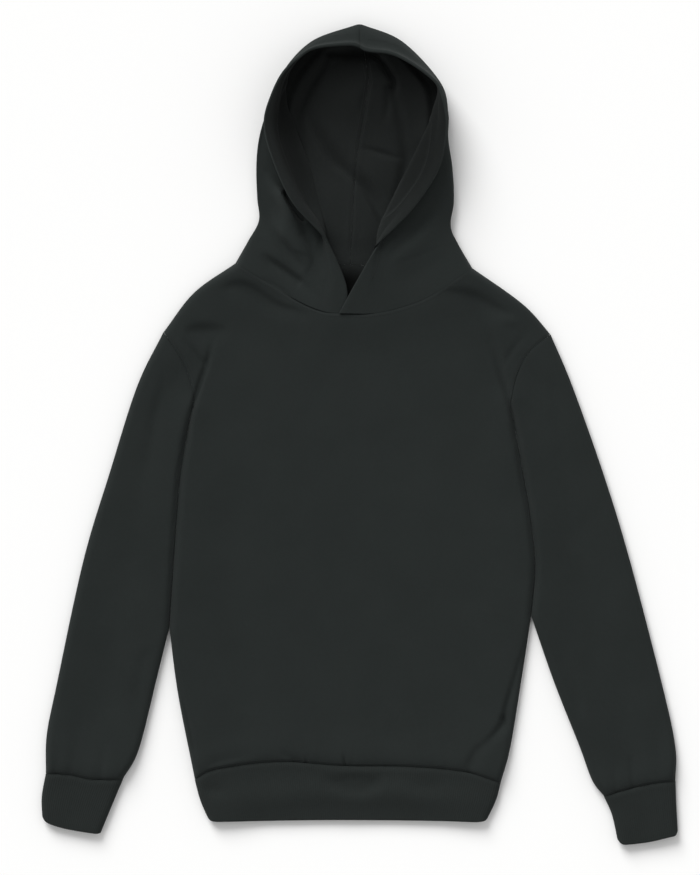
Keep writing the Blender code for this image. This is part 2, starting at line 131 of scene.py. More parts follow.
LINES = {
    # body, from the hem seam up
    "hem seam": [(-206, -430), (-179, -417), (-103, -408), (-19, -413), (60, -414), (128, -420), (176, -434)],
    "side left": [(-206, -430), (-227, -324), (-238, -241)],
    "touch left": [(-238, -241), (-234, -181), (-229, -106), (-223, -41), (-210, 31)],
    "armhole left": [(-210, 31), (-208, 54), (-221, 91), (-245, 129)],
    "shoulder left": [(-245, 129), (-207, 178), (-155, 215)],
    "side right": [(176, -434), (188, -390), (202, -305), (214, -226)],
    "touch right": [(214, -226), (219, -165), (214, -109), (204, -48), (188, 41)],
    "armhole right": [(188, 41), (196, 76), (212, 104), (238, 126)],
    "shoulder right": [(238, 126), (214, 154), (189, 175), (140, 209)],
    # neck, from each shoulder to where the hood's edges cross
    "front neck left": [(-155, 215), (-87, 173), (-47, 155), (-20, 152)],
    "front neck right": [(140, 209), (88, 174), (50, 159), (15, 152), (-20, 152)],
    "back neck left": [(-155, 215), (-84, 212), (-12, 213)],
    "back neck right": [(140, 209), (64, 210), (-12, 213)],
    # sleeves, from the shoulder to the cuff seam
    "outer left": [(-245, 129), (-278, 61), (-312, -46), (-345, -156), (-379, -314), (-391, -375), (-392, -423)],
    "inner left": [(-238, -241), (-254, -306), (-276, -393), (-296, -430)],
    "cuff seam left": [(-392, -423), (-364, -424), (-334, -430), (-296, -430)],
    "outer right": [(238, 126), (265, 62), (305, -51), (337, -156), (379, -318), (394, -390), (394, -432)],
    "inner right": [(214, -226), (242, -307), (274, -388), (290, -431), (305, -451)],
    "cuff seam right": [(394, -432), (367, -435), (340, -441), (305, -451)],
    # rib ends
    "band left": [(-206, -430), (-199, -456), (-188, -481)],
    "band right": [(176, -434), (170, -456), (158, -481)],
    "cuff outer left": [(-392, -423), (-397, -452), (-396, -481)],
    "cuff inner left": [(-296, -430), (-307, -456), (-324, -497)],
    "cuff outer right": [(394, -432), (395, -462), (397, -497)],
    "cuff inner right": [(305, -451), (315, -474), (323, -510)],
}

# creases: lean, then x, y, depth and half width along each; the first is the strained left part of the neck seam
NECK_CREASE = (0.0, [
    (-130, 198, 0, 1.6), (-112, 190, 1.3, 1.9), (-97, 181, 1.7, 2.1), (-85, 172, 1.8, 2.1), (-74, 166, 1.7, 2.0),
    (-60, 159, 1.4, 1.8), (-44, 154, 0.9, 1.6), (-24, 152, 0.5, 1.5), (0, 152, 0.9, 1.5), (22, 153, 0, 1.5)])
FRONT_CREASES = [
    NECK_CREASE,
    # under the left of the neck seam
    (-0.5, [(-176, 180, 0, 6), (-154, 187, 2.8, 7.5), (-135, 182, 3.6, 8), (-117, 170, 3.2, 7), (-101, 161, 2.6, 6),
            (-84, 156, 1.6, 5.4), (-60, 148, 0, 5)]),
    # hollow inside the left shoulder, and the folds that meet below it
    (-0.5, [(-220, 128, 0, 6), (-207, 131, 2.8, 8), (-193, 131, 3.4, 9), (-179, 131, 2.4, 8), (-162, 130, 0, 6)]),
    (0.0, [(-224, 122, 0.2, 2.6), (-210, 108, 1.5, 2.8), (-200, 95, 1.7, 2.8), (-192, 87, 1.8, 3.2)]),
    (0.0, [(-180, 128, 0, 4.6), (-187, 104, 1.4, 4.0), (-192, 86, 3.0, 3.4), (-200, 62, 3.6, 3.5), (-207, 40, 3.4, 3.6),
           (-213, 18, 2.2, 4.0), (-220, -20, 0, 4.2)]),
    # spindle across the right shoulder and the ridge beside it
    (-0.5, [(98, 180, 0, 5), (122, 178, 2.2, 7), (145, 171, 4.0, 9.5), (166, 160, 3.4, 8.5), (192, 148, 0, 4)]),
    (0.0, [(170, 149, 0, 5), (185, 144, -1.0, 6), (206, 138, 0, 5)]),
    # groove that runs on from the right sleeve
    (0.0, [(136, 158, 0, 8), (154, 138, 2.2, 9), (164, 118, 2.8, 7), (171, 98, 3.0, 4.8), (178, 70, 3.6, 3.8),
           (185, 48, 3.6, 3.6), (191, 24, 3.0, 3.6), (198, -14, 0, 3.8)]),
    # armhole seams, faint
    (0.0, [(-238, 120, 0, 3), (-222, 95, 0.7, 3), (-212, 70, 0.9, 3), (-208, 50, 0, 3)]),
    (0.0, [(214, 134, 0, 4), (198, 116, 0.7, 4), (187, 100, 0.8, 4), (178, 84, 0, 4)]),
    # side fold low on the right, with its two branches at the hem
    (0.3, [(208, -256, 0, 3), (199, -284, 1.4, 3.4), (191, -312, 2.0, 3.4), (183, -338, 2.8, 3.4),
           (179, -358, 3.6, 4.4), (168, -374, 2.4, 4.4), (156, -386, 1.4, 5), (146, -395, 1.8, 6), (139, -408, 2.4, 7),
           (136, -418, 1.6, 7)]),
    (0.0, [(179, -354, 1.8, 4), (187, -371, 1.5, 3.4), (192, -386, 0, 3)]),
    # side seam rolled forward low on the left
    (0.0, [(-225, -316, 0, 2), (-219, -338, 1.4, 2.1), (-214, -358, 1.7, 2.2), (-208, -386, 1.4, 2.2),
           (-204, -404, 0, 2)]),
    # pinches caught in the hem seam
    (0.0, [(-22.5, -395, 0, 1.5), (-19, -405, 1.7, 1.9), (-17, -415, 2.2, 2.1)]),
    (0.0, [(-68, -396, 0, 1.6), (-67, -405, 0.9, 1.9), (-67, -414, 1.1, 2.0)]),
    (0.5, [(-104, -395, 0, 3), (-92, -401, 1.0, 3.4), (-80, -409, 1.2, 3.4)]),
    # broad slack folds
    (0.5, [(-196, -414, 0, 4), (-178, -408, 1.3, 4.6), (-150, -402, 0.8, 4.6), (-128, -398, 0, 4)]),
    (0.0, [(-150, -250, 0, 22), (-138, -310, 0.7, 24), (-150, -360, 0, 20)]),
    (0.0, [(60, 60, 0, 26), (40, -20, 0.5, 30), (64, -110, 0, 26)]),
]
BACK_CREASES = [
    (0.3, [(-190, 120, 0, 5), (-150, 60, 1.6, 6), (-118, 0, 1.1, 7), (-104, -60, 0, 6)]),
    (-0.3, [(176, 118, 0, 5), (140, 62, 1.4, 6), (118, -6, 1.5, 7), (104, -80, 0, 6)]),
    (0.0, [(-210, -250, 0, 4), (-188, -300, 1.5, 4.6), (-178, -350, 2.2, 5), (-150, -398, 1.4, 7),
           (-140, -416, 1.0, 7)]),
    (0.0, [(196, -262, 0, 4), (176, -312, 1.2, 5), (150, -356, 1.6, 6), (128, -410, 1.2, 7)]),
    (0.4, [(-60, -394, 0, 2), (-56, -404, 1.0, 2.2), (-55, -414, 1.4, 2.4)]),
    (0.4, [(38, -396, 0, 2), (36, -406, 0.9, 2.2), (36, -416, 1.2, 2.4)]),
    (0.0, [(-92, 190, 0, 7), (-40, 176, 1.5, 8), (30, 182, 1.2, 8), (84, 178, 0, 7)]),
    (0.0, [(-60, 120, 0, 10), (-10, 96, 1.2, 12), (52, 110, 0, 10)]),
    (0.0, [(-30, -120, 0, 14), (24, -190, 1.0, 16), (10, -270, 0, 14)]),
]


def dense(points, steps=24):
    """A smooth curve through the points (Catmull-Rom), with steps pieces between two points."""
    p = np.array(points, float)
    if len(p) == 2:
        p = np.array([p[0], (p[0] + p[1]) / 2, p[1]])
    p = np.vstack([2 * p[0] - p[1], p, 2 * p[-1] - p[-2]])
    a, b, c, d = p[:-3, None], p[1:-2, None], p[2:-1, None], p[3:, None]
    t = np.linspace(0, 1, steps, endpoint=False)[None, :, None]
    pieces = 0.5 * (2 * b + (c - a) * t + (2 * a - 5 * b + 4 * c - d) * t**2 + (3 * b - a - 3 * c + d) * t**3)
    return np.vstack([pieces.reshape(-1, p.shape[1]), p[-2]])


def lengths(path):
    """How far along a path each of its points lies."""
    return np.concatenate([[0.0], np.cumsum(np.linalg.norm(np.diff(path, axis=0), axis=1))])


def along(path, shares):
    """Points of a dense path at the given shares of its length."""
    at = lengths(path)
    wanted = np.asarray(shares) * at[-1]
    return np.stack([np.interp(wanted, at, path[:, i]) for i in range(path.shape[1])], axis=1)


def curve(name):
    """A named seam or fold as a dense path."""
    return dense(LINES[name])


def line(name, shares):
    """Points of a named seam or fold at the given shares of its length."""
    return along(curve(name), shares)


def chain(*stretches):
    """Stretches that follow each other, without the doubled points."""
    return np.vstack([stretches[0]] + [stretch[1:] for stretch in stretches[1:]])


def spaced(length, cell, start=0.0, end=0.0, finest=0.4):
    """Shares at which a length is cut into cells that shrink to the finest size towards either end."""
    at = np.linspace(0, length, 4001)
    size = np.full(at.shape, float(cell))
    for reach, away in ((start, at), (end, length - at)):
        if reach:
            size = np.minimum(size, finest + (cell - finest) * np.clip(away / reach, 0, 1))
    count = np.concatenate([[0.0], np.cumsum(np.diff(at) / ((size[1:] + size[:-1]) / 2))])
    return np.interp(np.linspace(0, count[-1], int(round(count[-1])) + 1), count, at) / length


def quilt(start, end, side_a, side_b):
    """Fill four edges (a Coons patch): both rulings added, less the bilinear patch of the corners."""
    s = (lengths(start) / lengths(start)[-1])[None, :, None]
    t = (lengths(side_a) / lengths(side_a)[-1])[:, None, None]
    ruled = (1 - t) * start[None] + t * end[None] + (1 - s) * side_a[:, None] + s * side_b[:, None]
    corners = (1 - t) * ((1 - s) * start[0] + s * start[-1]) + t * ((1 - s) * end[0] + s * end[-1])
    return ruled - corners


def nearest(plan, path, reach=FAR):
    """For each point of a plan: its distance to a path, how far along the path, and on which side of it it is."""
    flat = plan.reshape(-1, 2)
    gap, place, side = np.full(len(flat), reach), np.zeros(len(flat)), np.ones(len(flat))
    close = np.flatnonzero(((flat > path.min(0) - reach) & (flat < path.max(0) + reach)).all(1))
    step = np.diff(path, axis=0)
    size = np.linalg.norm(step, axis=1)
    start = lengths(path)[:-1]
    for block in np.array_split(close, len(close) // 2000 + 1):
        off = flat[block, None] - path[None, :-1]
        share = np.clip((off * step).sum(2) / np.maximum(size**2, 1e-9), 0, 1)
        square = ((off - share[..., None] * step) ** 2).sum(2)
        row, best = np.arange(len(block)), square.argmin(1)
        gap[block] = np.minimum(np.sqrt(square[row, best]), reach)
        place[block] = start[best] + share[row, best] * size[best]
        side[block] = np.sign(step[best, 0] * off[row, best, 1] - step[best, 1] * off[row, best, 0])
    shape = plan.shape[:-1]
    return gap.reshape(shape), place.reshape(shape), side.reshape(shape)


def bell(distance, half_width):
    """A soft hump: e to the power of minus the square of distance over half width."""
    return np.exp(-((distance / half_width) ** 2))


def eased(share):
    """A smooth step from 0 to 1: three times the square less twice the cube of the share."""
    share = np.clip(share, 0, 1)
    return share * share * (3 - 2 * share)


def pressed(plan, creases):
    """Height that creases take away: a bell across each smooth line, steeper on one side by the crease's lean."""
    change = np.zeros(plan.shape[:-1])
    for lean, points in creases:
        path = dense(points, 8)
        gap, place, side = nearest(plan, path[:, :2], 4 * path[:, 3].max() * (1 + 2 * abs(lean)))
        at = lengths(path[:, :2])
        depth, width = np.interp(place, at, path[:, 2]), np.interp(place, at, path[:, 3])
        change -= depth * bell(gap, width * np.where(side * lean > 0, 1 + 2 * abs(lean), 1 - 0.4 * abs(lean)))
    return change


def ripples(plan, seed, shortest, longest, height, count=14):
    """Slow unevenness of lying cloth: sine waves of drawn direction, length and phase, longer ones higher."""
    draw = np.random.default_rng(seed)
    turn = draw.uniform(0, np.pi, count)
    length = np.exp(draw.uniform(np.log(shortest), np.log(longest), count))
    phase = draw.uniform(0, 2 * np.pi, count)
    way = plan[..., 0, None] * np.cos(turn) + plan[..., 1, None] * np.sin(turn)
    waves = np.sin(2 * np.pi * way / length + phase) * length / longest
    return height * waves.sum(-1) / np.sqrt(count / 2)


def puckers(gap, place, seed, height):
    """Small gathers that a seam makes: waves along it of uneven pitch, which die away from the seam."""
    draw = np.random.default_rng(seed)
    wave = 0
    for stretch in (0.62, 0.85, 1.0, 1.37, 1.9):
        wave = wave + np.sin(2 * np.pi * place / (PUCKER_PITCH * stretch) + draw.uniform(0, 2 * np.pi))
    return height * wave / 2.2 * np.exp(-gap / PUCKER_REACH) * (1 - bell(gap, 2.5))


FOLDED_EDGES = [np.vstack([curve(f"outer {side}")[::-1], curve(f"shoulder {side}")]) for side, _ in SIDES]
FOLDED_EDGES += [np.vstack([curve(f"side {side}"), curve(f"touch {side}")]) for side, _ in SIDES]
FOLDED_EDGES += [np.vstack([curve(f"inner {side}"), curve(f"cuff inner {side}")]) for side, _ in SIDES]
FOLDED_EDGES += [curve(f"{rib} {side}") for rib in ("cuff outer", "band") for side, _ in SIDES]
RIB_SEAMS = [curve("hem seam"), curve("cuff seam left"), curve("cuff seam right")]
NECK_SEAM = np.vstack([curve("front neck left"), curve("front neck right")[::-1]])
TOUCH = [curve(f"touch {side}") for side, _ in SIDES]
TOUCH_DEPTH = 5.0     # how far body and sleeve dip where they lie against each other
TOUCH_WIDTH = 4.6     # half width of that dip
TOUCH_FADE = 0.16     # share of its length over which the dip ends towards the armpit
ARMHOLES = [curve(f"armhole {side}") for side, _ in SIDES]
ARMPITS = np.array([LINES[f"armhole {side}"][0] for side, _ in SIDES])
ARMPIT_REACH = 42.0   # how far from an armpit the folds are tighter
ARMPIT_LEVEL = 0.8    # how much of the fold is gone in the armpit itself


def turned(plan, edges=FOLDED_EDGES):
    """0 on a folded edge, rising along a quarter circle to 1 where the cloth has turned over; and the distance
    to the folded edges, blended where two are near (the power of minus 6 of each, added up and taken back). Near an
    armpit the fold is tighter, as distances count up to three times, and it ends there."""
    armpit = bell(np.linalg.norm(plan[..., None, :] - ARMPITS, axis=-1).min(-1), ARMPIT_REACH)
    gaps = np.maximum([nearest(plan, edge)[0] for edge in edges], 0.01)
    gaps = np.minimum(gaps * (1 + 2 * armpit), FAR)
    blended = (np.sum(gaps**-6 - FAR**-6, axis=0) + FAR**-6) ** (-1 / 6)
    turn = np.sqrt(1 - (1 - np.clip(gaps.min(0) / FOLD_REACH, 0, 1)) ** 2)
    return turn + (1 - turn) * ARMPIT_LEVEL * armpit**36, blended


def upper(plan, puff, edges=FOLDED_EDGES):
    """Height of the upper side: the turn of its edges, the settling, the lift at the neck, the grooves of seams."""
    turn, inwards = turned(plan, edges)
    z = FOLD_MIDDLE + (FOLD_TOP - FOLD_MIDDLE) * turn
    z -= (FOLD_TOP - SETTLED) * eased((inwards - FOLD_REACH) / SETTLE_REACH)
    neck = nearest(plan, NECK_SEAM)[0]
    z += turn * NECK_LIFT * bell(neck, NECK_REACH)
    z -= turn * NECK_DEPTH * bell(neck, SEAM_WIDTH)
    for path in TOUCH:
        gap, place, _ = nearest(plan, path, 20)
        share = place / lengths(path)[-1]
        z -= turn * TOUCH_DEPTH * (0.35 + 0.65 * share) * eased((1 - share) / TOUCH_FADE) * bell(gap, TOUCH_WIDTH)
    for number, seam in enumerate(RIB_SEAMS):
        gap, place, _ = nearest(plan, seam)
        z -= turn * SEAM_DEPTH * bell(gap, SEAM_WIDTH)
        if puff:
            away = gap / BLOUSE_REACH
            z += turn * (BLOUSE * away * np.exp(1 - away) + puckers(gap, place, 40 + number, 0.42))
        else:
            z += turn * RIB_BEAD[0] * bell(gap - RIB_BEAD[1], RIB_BEAD[2])
    return z


def lower(plan, edges=FOLDED_EDGES):
    """Height of the underside: on the floor, and up to the middle at its folded edges."""
    return FOLD_MIDDLE * (1 - turned(plan, edges)[0])


def at_least(z, low, blend=0.5):
    """The greater of the two, blended smoothly."""
    over = z - low
    return low + (over + np.sqrt(over**2 + blend**2)) / 2


def lift(plan, height):
    """A plan and its heights as one grid of points."""
    return np.concatenate([plan, height[..., None]], axis=-1)


def facing(grid, closed):
    """The grid's unit normals, from the differences between its rows and between its columns."""
    ring = np.concatenate([grid[:, -1:], grid, grid[:, :1]], axis=1) if closed else grid
    over = np.gradient(ring, axis=1)
    over = over[:, 1:-1] if closed else over
    normal = np.cross(np.gradient(grid, axis=0), over)
    return normal / np.maximum(np.linalg.norm(normal, axis=2, keepdims=True), 1e-9)


def square_off(normal, rows, columns, seam, steep=0.0):
    """Take out of the normals on a seam what points across it, so that the wall ends square to the seam. Left as
    they are where the seam stands up: where its run in plan is below the steep share of its longest."""
    along_seam = np.gradient(seam[..., :2], axis=0)
    run = np.linalg.norm(along_seam, axis=1, keepdims=True)
    across = np.stack([-along_seam[:, 1], along_seam[:, 0], np.zeros(len(seam))], axis=1) / np.maximum(run, 1e-9)
    edge = normal[rows, columns]
    edge = edge - (run > steep * run.max()) * (edge * across).sum(1, keepdims=True) * across
    normal[rows, columns] = edge / np.linalg.norm(edge, axis=1, keepdims=True)


def corners_of(grid):
    """The four corners of every cell of a grid, row by row."""
    cells = np.stack([grid[1:, :-1], grid[1:, 1:], grid[:-1, 1:], grid[:-1, :-1]], axis=2)
    return cells.reshape((-1, 4) + grid.shape[2:])


def measured(grid, closed):
    """Distances in millimetres over the cloth, across and down each grid line, for the knit to follow."""
    if closed:
        grid = np.concatenate([grid, grid[:, :1]], axis=1)
    across = np.cumsum(np.linalg.norm(np.diff(grid, axis=1, prepend=grid[:, :1]), axis=2), axis=1)
    down = np.cumsum(np.linalg.norm(np.diff(grid, axis=0, prepend=grid[:1]), axis=2), axis=0)
    return np.stack([across, np.broadcast_to(down.mean(1, keepdims=True), across.shape)], axis=2)


CUT_EDGE = np.radians(62)     # a wall's edge steeper than this stays sharp


def cloth(name, outside, inside, closed, flip, finishes, free=()):
    """A wall of cloth between two grids. Free edges are rounded by a half circle, sewn ones are cut square.

    Edges are named first, last, left and right, for the first and last row and column."""
    rows, columns = outside.shape[:2]
    numbers = np.arange(rows * columns).reshape(rows, columns)
    if closed:
        numbers = np.hstack([numbers, numbers[:, :1]])
    knit = measured(outside, closed)
    points = [outside.reshape(-1, 3), inside.reshape(-1, 3)]
    faces = [corners_of(numbers), corners_of(numbers + rows * columns)[:, ::-1]]
    maps = [corners_of(knit), corners_of(knit)[:, ::-1]]
    finish = [np.zeros(len(faces[0]), int), np.ones(len(faces[1]), int)]
    edges = {
        "first": (numbers[0, ::-1], numbers[1, ::-1], knit[0, ::-1]),
        "last": (numbers[-1], numbers[-2], knit[-1]),
    }
    if not closed:
        edges["left"] = (numbers[:, 0], numbers[:, 1], knit[:, 0])
        edges["right"] = (numbers[::-1, -1], numbers[::-1, -2], knit[::-1, -1])
    count = 2 * rows * columns
    for edge, (rim, before, where) in edges.items():
        a, b = outside.reshape(-1, 3)[rim], inside.reshape(-1, 3)[rim]
        loops = [rim]
        if edge in free:
            way = a - outside.reshape(-1, 3)[before]
            half = (a - b) / 2
            radius = np.linalg.norm(half, axis=1, keepdims=True)
            axis = half / radius
            way = way - (way * axis).sum(1, keepdims=True) * axis
            way /= np.linalg.norm(way, axis=1, keepdims=True)
            for turn in np.radians([30, 60, 90, 120, 150]):
                loop = (a + b) / 2 + half * np.cos(turn) + way * radius * np.sin(turn)
                own = np.arange(count, count + len(rim))
                if closed:
                    loop, own = loop[:-1], np.append(own[:-1], own[0])
                points.append(loop)
                count += len(loop)
                loops.append(own)
        loops.append(rim + rows * columns)
        strips = corners_of(np.stack(loops))
        across = np.linspace(0, FLEECE, len(loops))[:, None, None] * np.array([0.0, 1.0])
        faces.append(strips)
        maps.append(corners_of(np.broadcast_to(where[None], (len(loops), *where.shape)) + across))
        finish.append(np.zeros(len(strips), int))
    faces, maps = np.vstack(faces), np.vstack(maps)
    if flip:
        faces, maps = faces[:, ::-1], maps[:, ::-1]
    mesh = bpy.data.meshes.new(name)
    points = np.vstack(points) * MM
    mesh.vertices.add(len(points))
    mesh.vertices.foreach_set("co", points.ravel())
    mesh.loops.add(faces.size)
    mesh.loops.foreach_set("vertex_index", faces.ravel())
    mesh.polygons.add(len(faces))
    mesh.polygons.foreach_set("loop_start", np.arange(0, faces.size, 4))
    mesh.polygons.foreach_set("material_index", np.concatenate(finish))
    mesh.update(calc_edges=True)
    mesh.uv_layers.new(name="knit").data.foreach_set("uv", (maps * MM).ravel())
    mesh.shade_smooth()
    mesh.set_sharp_from_angle(angle=CUT_EDGE)
    for material in finishes:
        mesh.materials.append(material)
    return placed(name, mesh)


class Amount:
    """A number that varies over the cloth. Arithmetic on it adds Math nodes to its finish."""

    def __init__(self, finish, socket):
        self.finish, self.socket = finish, socket

    def sum(self, operation, first, second):
        return self.finish.node("ShaderNodeMath", {"operation": operation}, {0: first, 1: second})

    def __add__(self, other):
        return self.sum("ADD", self, other)

    def __mul__(self, other):
        return self.sum("MULTIPLY", self, other)

    def __rsub__(self, other):
        return self.sum("SUBTRACT", other, self)


class Finish:
    """A cloth's material. node() adds one node: its type, its settings, and the values or links of its sockets."""

    def __init__(self, name):
        self.material = bpy.data.materials.new(name)
        self.material.use_nodes = True
        self.tree = self.material.node_tree
        self.shader = self.tree.nodes["Principled BSDF"]

    def node(self, kind, settings, sockets, output=0):
        node = self.tree.nodes.new(kind)
        for name, value in settings.items():
            setattr(node, name, value)
        self.feed(node, sockets)
        return Amount(self, node.outputs[output])

    def feed(self, node, sockets):
        for name, value in sockets.items():
            if isinstance(value, Amount):
                self.tree.links.new(value.socket, node.inputs[name])
            else:
                node.inputs[name].default_value = value

    def wave(self, amount):
        """The sine of an amount in radians."""
        return self.node("ShaderNodeMath", {"operation": "SINE"}, {0: amount})

    def noise(self, where, scale, detail, rough=0.5):
        sockets = {"Vector": where, "Scale": scale, "Detail": detail, "Roughness": rough}
        return self.node("ShaderNodeTexNoise", {}, sockets)

    def parts(self, vector):
        """The x and y of a vector."""
        split = self.tree.nodes.new("ShaderNodeSeparateXYZ")
        self.tree.links.new(vector.socket, split.inputs[0])
        return Amount(self, split.outputs[0]), Amount(self, split.outputs[1])

    def fade(self, amount, start, end, low, high):
        """A smooth change from the low value to the high one while the amount goes from start to end."""
        return self.node("ShaderNodeMapRange", {"interpolation_type": "SMOOTHSTEP"}, {
            "Value": amount, "From Min": start, "From Max": end, "To Min": low, "To Max": high})


# middle of the painted shade at the throat, a point of the hood's inside that lies in deep shade
THROAT = (-0.0130, 0.179, 0.0)    # where the hood's front edges cross, in metres


def knitted(name, dark, pale, wale, course, fuzz, sheen, painted_crown_shade=1.0):
    """Knit cloth: loops in wales and courses, a nap of fine fibres, and a colour that is uneven at three sizes.

    The colour also carries painted shade: it is multiplied down by the crown shade towards the far end of the hood, and
    it is darker at the throat, where the front edges cross, and on the walls that hold an amount of painted wall shade."""
    f = Finish(name)
    place = f.node("ShaderNodeTexCoord", {}, {}, output="Object")
    across, down = f.parts(f.node("ShaderNodeUVMap", {"uv_map": "knit"}, {}))
    wander = f.noise(place, 900.0, 2.0) * 0.9
    wales = f.wave(across * (2 * np.pi / wale) + wander)
    legs = f.wave(down * (2 * np.pi / course) + wales * 1.4 + wander)
    fibres = f.noise(place, 5200.0, 3.0, 0.7)
    lint = f.noise(place, 1300.0, 4.0, 0.65)
    height = wales * 0.35 + legs * 0.3 + (fibres + lint) * fuzz
    bump = f.node("ShaderNodeBump", {}, {"Strength": 0.7, "Distance": 0.00022, "Height": height})
    uneven = f.noise(place, 18.0, 3.0) * 0.35 + f.noise(place, 260.0, 4.0, 0.6) * 0.4 + lint * 0.25
    tone = f.node("ShaderNodeMapRange", {}, {"Value": uneven + wales * 0.02, "From Min": 0.32, "From Max": 0.68})
    colour = f.node("ShaderNodeMix", {"data_type": "RGBA"}, {0: tone, 6: (*dark, 1), 7: (*pale, 1)}, output=2)
    # painted shade: the colour darkens towards the hood's crown, at the throat and on the standing walls, where the
    # hood's inside lies in shade
    if painted_crown_shade < 1:
        away = f.node("ShaderNodeVectorMath", {"operation": "DISTANCE"}, {0: place, 1: THROAT}, output=1)
        shade = f.fade(f.parts(place)[1], 0.25, 0.45, 1.0, painted_crown_shade) * f.fade(away, 0.012, 0.044, 0.06, 1.0)
        shade = shade * (1 - f.node("ShaderNodeAttribute", {"attribute_name": "painted_wall_shade"}, {}, output="Fac"))
        colour = f.node("ShaderNodeVectorMath", {"operation": "SCALE"}, {0: colour, "Scale": shade})
    f.feed(f.shader, {
        "Base Color": colour, "Roughness": 0.95, "Specular IOR Level": 0.10, "Normal": bump,
        "Sheen Weight": sheen, "Sheen Roughness": 0.55, "Sheen Tint": (0.85, 0.9, 0.88, 1),
    })
    return f.material


fleece_face = knitted(
    "fleece_face", (0.0142, 0.0173, 0.0166), (0.0177, 0.0212, 0.0204), 0.0011, 0.0009, 0.5, 0.04)
# the brushed inside: a little darker than the face, partly its own colour and partly painted shade for the hood's
# inside; it also carries the painted shade at the crown, the throat and the walls
fleece_back_with_painted_shade = knitted(
    "fleece_brushed_with_painted_shade", (0.0126, 0.0147, 0.0142), (0.0174, 0.0198, 0.0192), 0.0016, 0.0013, 1.3, 0.03, painted_crown_shade=0.44)

shoulder = spaced(125, CELL, start=16)
half_neck = spaced(160, CELL)
half_hem = np.concatenate([0.27 * shoulder, 0.27 + 0.23 * half_neck[1:]])
hem_cut = np.concatenate([half_hem, 1 - half_hem[-2::-1]])
side_cut = (spaced(192, CELL, start=16, finest=1.0), spaced(273, CELL), spaced(104, CELL, end=10, finest=1.0))


def body_plan(neck):
    """The panel's outline filled with a grid: hem seam below, shoulders and neck above, the sides beside."""
    top = chain(
        line("shoulder left", shoulder), line(neck + " neck left", half_neck),
        line(neck + " neck right", half_neck)[::-1], line("shoulder right", shoulder)[::-1],
    )
    left, right = [
        chain(*[line(f"{stretch} {side}", cut) for stretch, cut in zip(("side", "touch", "armhole"), side_cut)])
        for side, _ in SIDES
    ]
    return quilt(line("hem seam", hem_cut), top, left, right)


def body_panel(name, plan, base, height, up):
    """A panel between its outer side and its lining: level at the folded edges, cut square at the seams."""
    normal = -facing(lift(plan, base), False)
    normal *= up * np.sign(normal[..., 2:].mean())
    folded = turned(plan)[0] < 0.01
    normal[folded, 2] = 0
    normal /= np.linalg.norm(normal, axis=2, keepdims=True)
    neck = slice(len(shoulder), -len(shoulder))
    square_off(normal, 0, slice(None), plan[0])
    square_off(normal, -1, neck, plan[-1, neck])
    armhole = slice(-len(side_cut[2]) + 1, -1)
    square_off(normal, armhole, 0, plan[armhole, 0])
    square_off(normal, armhole, -1, plan[armhole, -1])
    outside = lift(plan, height)
    return cloth(name, outside, outside - FLEECE * normal, False, up > 0, (fleece_face, fleece_back_with_painted_shade))


plan = body_plan("front")
turn = turned(plan)[0]
base = np.maximum(upper(plan, True), FOLD_MIDDLE + GAP / 2)
slack = ripples(plan, 3, 90, 260, 0.55) + ripples(plan, 4, 28, 70, 0.10)
seams = sum(ARMHOLE_DEPTH * bell(nearest(plan, seam)[0], SEAM_WIDTH) for seam in ARMHOLES)
height = base + turn * (CREASE_GAIN * pressed(plan, FRONT_CREASES) + slack - seams)
height = np.maximum(at_least(height, np.minimum(base, THINNEST), 0.35), FOLD_MIDDLE * (1 - turn) + GAP / 2)
front = body_panel("front_cloth", plan, base, height, 1)
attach(front, "root")
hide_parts("front_body")

plan = body_plan("back")
turn = turned(plan)[0]
base = np.minimum(lower(plan), FOLD_MIDDLE - GAP / 2)
gap, place, _ = nearest(plan, RIB_SEAMS[0])
lifted = -pressed(plan, BACK_CREASES) + SEAM_DEPTH * bell(gap, SEAM_WIDTH)
lifted = lifted + np.maximum(puckers(gap, place, 47, 0.4), 0)
lifted = lifted + np.maximum(ripples(plan, 5, 60, 180, 0.35), 0)
height = base + turn * np.maximum(lifted, 0)
back = body_panel("back_cloth", plan, base, height, -1)
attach(back, "root")
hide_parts("back_body")

# ---------------------------------------------------------------- hem rib
# A tube of rib knit, cut twice as deep, folded lengthwise and sewn on stretched. It draws the fleece in, and
# its lower edge is the fold.
RIB = 2.8             # wall of the doubled rib
RIB_PITCH = 2.9       # one raised rib and its furrow
RIB_RELIEF = 0.34     # how far a rib stands over its furrow
RIB_CELL = 0.5        # grid cell across the ribs
RIB_FULL = 5.8        # least height of the rib's upper side over its underside
FLOOR_ROOM = 0.3      # least height of a tube's lining over the floor
LINES["band end"] = [
    (-186, -479.8), (-179, -481.2), (-164, -481.2), (-126, -480.4), (-50, -479.2), (30, -479.4), (100, -480.4),
    (134, -481.4), (148, -481.6), (156, -480.0)]
BAND_CREASES = [
    # the band stands fuller than the cloth above it, but for a hollow in the middle and shallow ones near the ends
    (0.0, [(-188, -456, 0, 14), (-120, -452, -3.4, 17), (-60, -448, -4.2, 16), (-10, -446, -4.0, 16),
           (46, -448, -4.4, 16), (100, -454, -3.4, 17), (160, -458, 0, 14)]),
    (0.0, [(-50, -432, 0, 8), (-30, -436, 4.6, 8), (-11, -438, 8.0, 10), (8, -438, 7.0, 9.5), (32, -434, 0, 8)]),
    (0.0, [(-198, -438, 0, 6), (-182, -443, 2.4, 7), (-162, -444, 0, 6)]),
    (0.0, [(50, -436, 0, 8), (82, -440, 2.4, 9), (112, -438, 0, 8)]),
    (0.0, [(-60, -418, 0, 3), (-30, -421, -0.8, 3.4), (30, -421, -0.8, 3.4), (110, -424, 0, 3)]),
]
rib_face = knitted("rib_face", (0.0140, 0.0169, 0.0161), (0.0170, 0.0202, 0.0193), 0.00145, 0.0011, 0.45, 0.04)
rib_back = knitted("rib_back", (0.0130, 0.0157, 0.0150), (0.0160, 0.0190, 0.0182), 0.00145, 0.0011, 0.6, 0.04)


